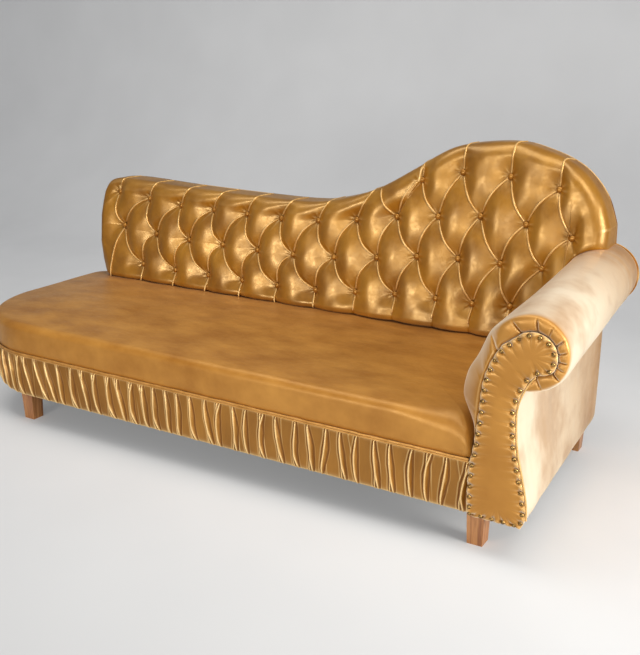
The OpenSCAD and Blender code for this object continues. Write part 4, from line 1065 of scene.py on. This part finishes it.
def arm_cover():
    """The arm's cover, drawn over the front of the arm in pleats that end at the facing's nails."""
    start, rear = 38.0, BACK_REAR - 0.4
    base = arm_section(start)
    count = len(base)
    degrees = np.interp(np.arange(count), [len(ARM_INNER) * ARM_STEPS, count - 1], [ROLL_START, ROLL_END],
                        left=200)
    up, down = degrees > HEAD_END, degrees < HEAD_START
    head = ~up & ~down
    # Where each line of the cover ends on the facing's edge
    left = facing_edge(FACING_LEFT_EDGE, 10)[::-1]
    left = np.concatenate([left[left[:, 1] > 296], [on_head(HEAD_END)]])
    neck = facing_edge(FACING_RIGHT, 10)[::-1]
    neck = np.concatenate([[on_head(HEAD_START)], neck[neck[:, 1] > 456]])
    ends = np.zeros((count, 2))
    ends[up] = walk(left, np.linspace(0, 1, up.sum()))
    ends[head] = on_head(degrees[head])
    ends[down] = walk(neck, np.linspace(0, 1, down.sum()))
    crease = flank = np.zeros(count)
    for angle, size in ((158, 1.0), (123, 1.0), (84, 1.0), (57, 0.35), (31, 1.0), (12, 0.6), (-6, 0.9), (-20, 0.5),
                        (-37, 1.0), (-68, 0.7)):
        crease = np.maximum(crease, size * bell(degrees - angle, 1.7))
        flank = np.maximum(flank, size * bell(degrees - angle, 7.0))
    low_run = np.arange(count) / ARM_STEPS
    gathers = 0.5 * np.maximum(0, wave(low_run * 2.2, 61)) * ease((degrees - 150) / 20)
    rows = []
    edge = spline([
        (1.02, 13.5), (0.985, 10.5), (0.93, 8.0), (0.84, 5.8), (0.72, 4.4), (0.58, 3.8), (0.44, 4.2), (0.31, 5.6),
        (0.2, 8.2), (0.12, 11.6), (0.055, 17), (0.015, 26), (0, start)], 3)
    for s, y in edge:
        place = mix(base, ends, s)
        fade = ease((s - 0.1) / 0.5)
        depth = (6.5 * crease + 2.4 * flank + 1.6 * gathers) * fade
        # Flat in front of the roll, and sloping back from the nails beside the seat
        sloped = 4 + (start - 4) * np.clip(1 - s, 0, 1) ** 1.4
        depth = depth + np.maximum(sloped - y, 0) * 0.85 * ease((degrees - 136) / 30)
        rows.append(at_depth(place, y + depth))
    for y in np.linspace(start, rear, 80)[1:]:
        line = arm_section(y)
        run = run_along(line)
        shift = 0.9 * ripple(run / 70 + y / 900, y / 300 + run / 400, 62)
        # Drawn wrinkles across the roll near the back
        bend = y + 26 * np.cos(np.radians(degrees - 60))
        shift = shift + 1.1 * np.sin(bend / 8.5 + 0.6 * np.sin(run / 30)) * bell(bend - 690, 48)
        shift = shift - 5.0 * math.exp(-(rear - y) / 8) - 0.6
        rows.append(at_depth(line - to_right(line) * (shift * ease((y - start) / 60))[:, None], y))
    piece = grid_piece("arm_cover", rows, velvet_gold)
    finish_piece(piece, "arm_pad", "arm_gather_ring")


NAIL_INSET = 8


def scroll_facing():
    """Padded facing, dimpled and puckered at every nail."""
    count, nails = 704, 44
    loop = resample(facing_outline(), count)
    phase = np.arange(count) / count * nails - 0.5
    at_nail = np.cos(2 * np.pi * phase) * 0.5 + 0.5
    spine = spline([
        (1988, 160), (1984, 200), (1977, 250), (1971, 300), (1968, 350), (1969, 400), (1977, 450), (1994, 498),
        (2022, 532), (2050, 548)], 6)
    nearest = np.argmin(np.linalg.norm(loop[:, None, :] - spine[None], axis=2), axis=1)
    toward = spine[nearest] - loop
    reach = np.linalg.norm(toward, axis=1)
    sections = [
        (0.8, 8.6), (0.0, 7.0), (0.0, 4.8), (0.7, 3.0), (2.2, 1.9), (4.2, 1.4), (6.5, 1.3), (9.0, 1.3), (12.0, 0.9),
        (15.5, 0.3), (20, -0.2), (26, -0.6), (34, -0.8)]
    rows = []
    for inset, y in sections:
        place = loop + toward * (np.minimum(inset, reach * 0.9) / reach)[:, None]
        past = inset - NAIL_INSET
        dimple = 3.0 * at_nail ** 2 * bell(past, 5)
        pucker = 3.6 * at_nail ** 4 * math.exp(-past / 9 if past > 0 else past / 12)
        proud = 2.4 * (1 - at_nail) ** 2 * bell(inset - 6, 7)
        shift = (dimple + pucker - proud) * (y < 6)
        scallop = toward / reach[:, None] * (0.8 * at_nail * (inset < 3))[:, None]
        rows.append(at_depth(place + scallop, np.maximum(y + shift, -1.4)))
    points = np.array(rows).reshape(-1, 3)
    faces = grid_faces(len(rows), count, True)
    last = (len(rows) - 1) * count
    base = len(points)
    points = np.concatenate([points, at_depth(spine, -0.9)])
    for k in range(count):
        n = (k + 1) % count
        a, b = int(nearest[k]), int(nearest[n])
        corners = (last + k, last + n, base + b, base + a)
        faces.append(corners[:3] if a == b else corners)
    faces.append(list(range(count)))
    piece = make_mesh("scroll_facing", points, faces, velvet_gold)
    finish_piece(piece, "arm_facing")


def facing_cord():
    edge = facing_edge(FACING_RIGHT[1:], 14)
    places = at_depth(edge + 2.3 * to_right(edge), 4.6)
    radius = 2.15 * (1 + 0.05 * wave(np.arange(len(edge)) / 3.0, 81))
    # The cord takes the lighter velvet: its pale tone is a painted highlight
    piece = grid_piece("facing_cord", tube(places, radius), velvet_cord_painted_highlight, wrap=True, caps=True)
    finish_piece(piece, "facing_welt", slot="velvet_piping")


OUTSIDE_FRONT = 13.0
OUTSIDE_TOP = 454.4


def outside_arm():
    """Covered panel outside the arm: the facing's curve at the front, drawn straight towards the rear."""
    edge = facing_edge(FACING_RIGHT, 8)
    share = np.linspace(0, 1, 60)
    front_x = np.interp(mix(RAIL_BOTTOM, OUTSIDE_TOP, share), edge[:, 1], edge[:, 0])
    rows = []
    for y in np.linspace(OUTSIDE_FRONT, COUCH_REAR - 0.4, 110):
        t = (y - OUTSIDE_FRONT) / (COUCH_REAR - OUTSIDE_FRONT)
        z = mix(RAIL_BOTTOM, OUTSIDE_TOP + 26 * y / BASE_DEPTH, share)
        wrinkle = 0.8 * ripple(y / 42.0 + 0.15 * share, share * 1.5, 91) + 0.35 * ripple(y / 17.0, share * 4, 92)
        tuck = 3.5 * math.exp(-(y - OUTSIDE_FRONT) / 4) + 2.5 * math.exp(-(COUCH_REAR - y) / 5)
        hem = 2.5 * np.exp(-share * 375 / 6)
        rows.append(joined(mix(front_x, 2024.1, t) - 1.2 + wrinkle - tuck - hem, y, z))
    piece = grid_piece("outside_arm_cover", panel(np.array(rows), -4.0), velvet_gold, wrap=True, caps=True)
    finish_piece(piece, "outside_arm")


# Camera, lamps and floor; the focal length was solved in pixels of the photograph's longer side
FOCAL_PIXELS = 900.04
LONGER_SIDE = 655.0


def camera():
    data = bpy.data.cameras.new("photo_camera")
    data.sensor_width = 36.0
    data.lens = FOCAL_PIXELS * data.sensor_width / LONGER_SIDE
    data.clip_end = 60.0
    made = new_object("photo_camera", data)
    made.location = (1.558, -2.309, 1.2125)
    made.rotation_euler = (math.pi / 2 - 0.2978, 0.0, 0.5375)
    bpy.context.scene.camera = made


def lamp(name, place, target, size, power, colour, spread=180):
    data = bpy.data.lights.new(name, "AREA")
    data.shape = "RECTANGLE"
    data.size, data.size_y = size
    data.energy = power
    data.color = colour
    data.spread = math.radians(spread)
    made = new_object(name, data)
    made.visible_camera = False
    made.location = place
    direction = Vector(target) - Vector(place)
    made.rotation_euler = direction.to_track_quat("-Z", "Y").to_euler()


def stage():
    material, shader, place = new_material("floor_paint")
    paint = ramp(noise(place, 2.0, 2.0), [(0.3, (0.7, 0.705, 0.71)), (0.7, (0.75, 0.755, 0.76))])
    # Darker under the lamps in front, where it would burn out
    paint = blend(depth_share(place, -1.5, 0.1, 1.0, 0.0), paint, (0.4, 0.405, 0.41))
    seen = node(place, "LightPath").outputs["Is Camera Ray"]
    feed(shader, Base_Color=paint, Emission_Strength=map_range(seen, 0.0, 0.16, 0.0, 1.0))
    set_values(shader, dict(Roughness=0.6, Specular_IOR_Level=0.2, Emission_Color=(1.0, 1.0, 1.0, 1)))
    # The wall is clear from its rear, so that it doesn't hide the couch in the views from behind
    clear = node(place, "BsdfTransparent")
    behind = node(place, "MixShader")
    feed(behind, Fac=node(place, "NewGeometry").outputs["Backfacing"])
    link(shader.outputs["BSDF"], behind.inputs[1])
    link(clear.outputs["BSDF"], behind.inputs[2])
    feed(material.node_tree.nodes["Material Output"], Surface=behind.outputs["Shader"])
    # A floor that curves up into a wall behind the couch
    profile = [(-9.0, 0.0), (1.2, 0.0), *arc((1.9, 1.2), 1.2, -90, 0, 24), (3.1, 6.0)]
    points = [(x, y, z) for y, z in profile for x in (-12.0, 12.0)]
    faces = [(2 * i, 2 * i + 1, 2 * i + 3, 2 * i + 2) for i in range(len(profile) - 1)]
    floor = new_mesh("floor", points, faces, material)
    world = bpy.data.worlds.new("studio")
    world.use_nodes = True
    background = world.node_tree.nodes["Background"]
    seen = node(background, "LightPath").outputs["Is Camera Ray"]
    set_values(background, dict(Color=(0.93, 0.95, 1.0, 1)))
    feed(background, Strength=map_range(seen, 0.2, 0.9, 0.0, 1.0))
    bpy.context.scene.world = world


camera()
stage()
DAYLIGHT = (1.0, 0.98, 0.94)
lamp("window", (4.4, -0.8, 1.5), (0.3, -0.75, 0.5), (1.4, 1.6), 34.5, DAYLIGHT, 75)
lamp("strip", (1.5, -2.95, 0.72), (0.2, 0.3, 0.6), (1.9, 0.6), 20.5, DAYLIGHT)
lamp("left_key", (-0.35, -3.1, 0.75), (-0.7, 0.3, 0.6), (1.1, 0.6), 15.5, DAYLIGHT, 130)
lamp("high_right", (1.9, -1.0, 2.3), (0.9, -0.3, 0.4), (1.0, 1.0), 15.0, DAYLIGHT)
lamp("top", (-0.2, -0.6, 3.6), (0.0, 0.0, 0.3), (4.0, 1.6), 56.0, (1.0, 0.99, 0.97))

tufted_back()
pleats()
tuft_buttons()
outside_back()
seat_pad()
gathered_band()
double_welt()
arm_cover()
scroll_facing()
facing_cord()
outside_arm()

bpy.context.scene.view_settings.view_transform = "Standard"
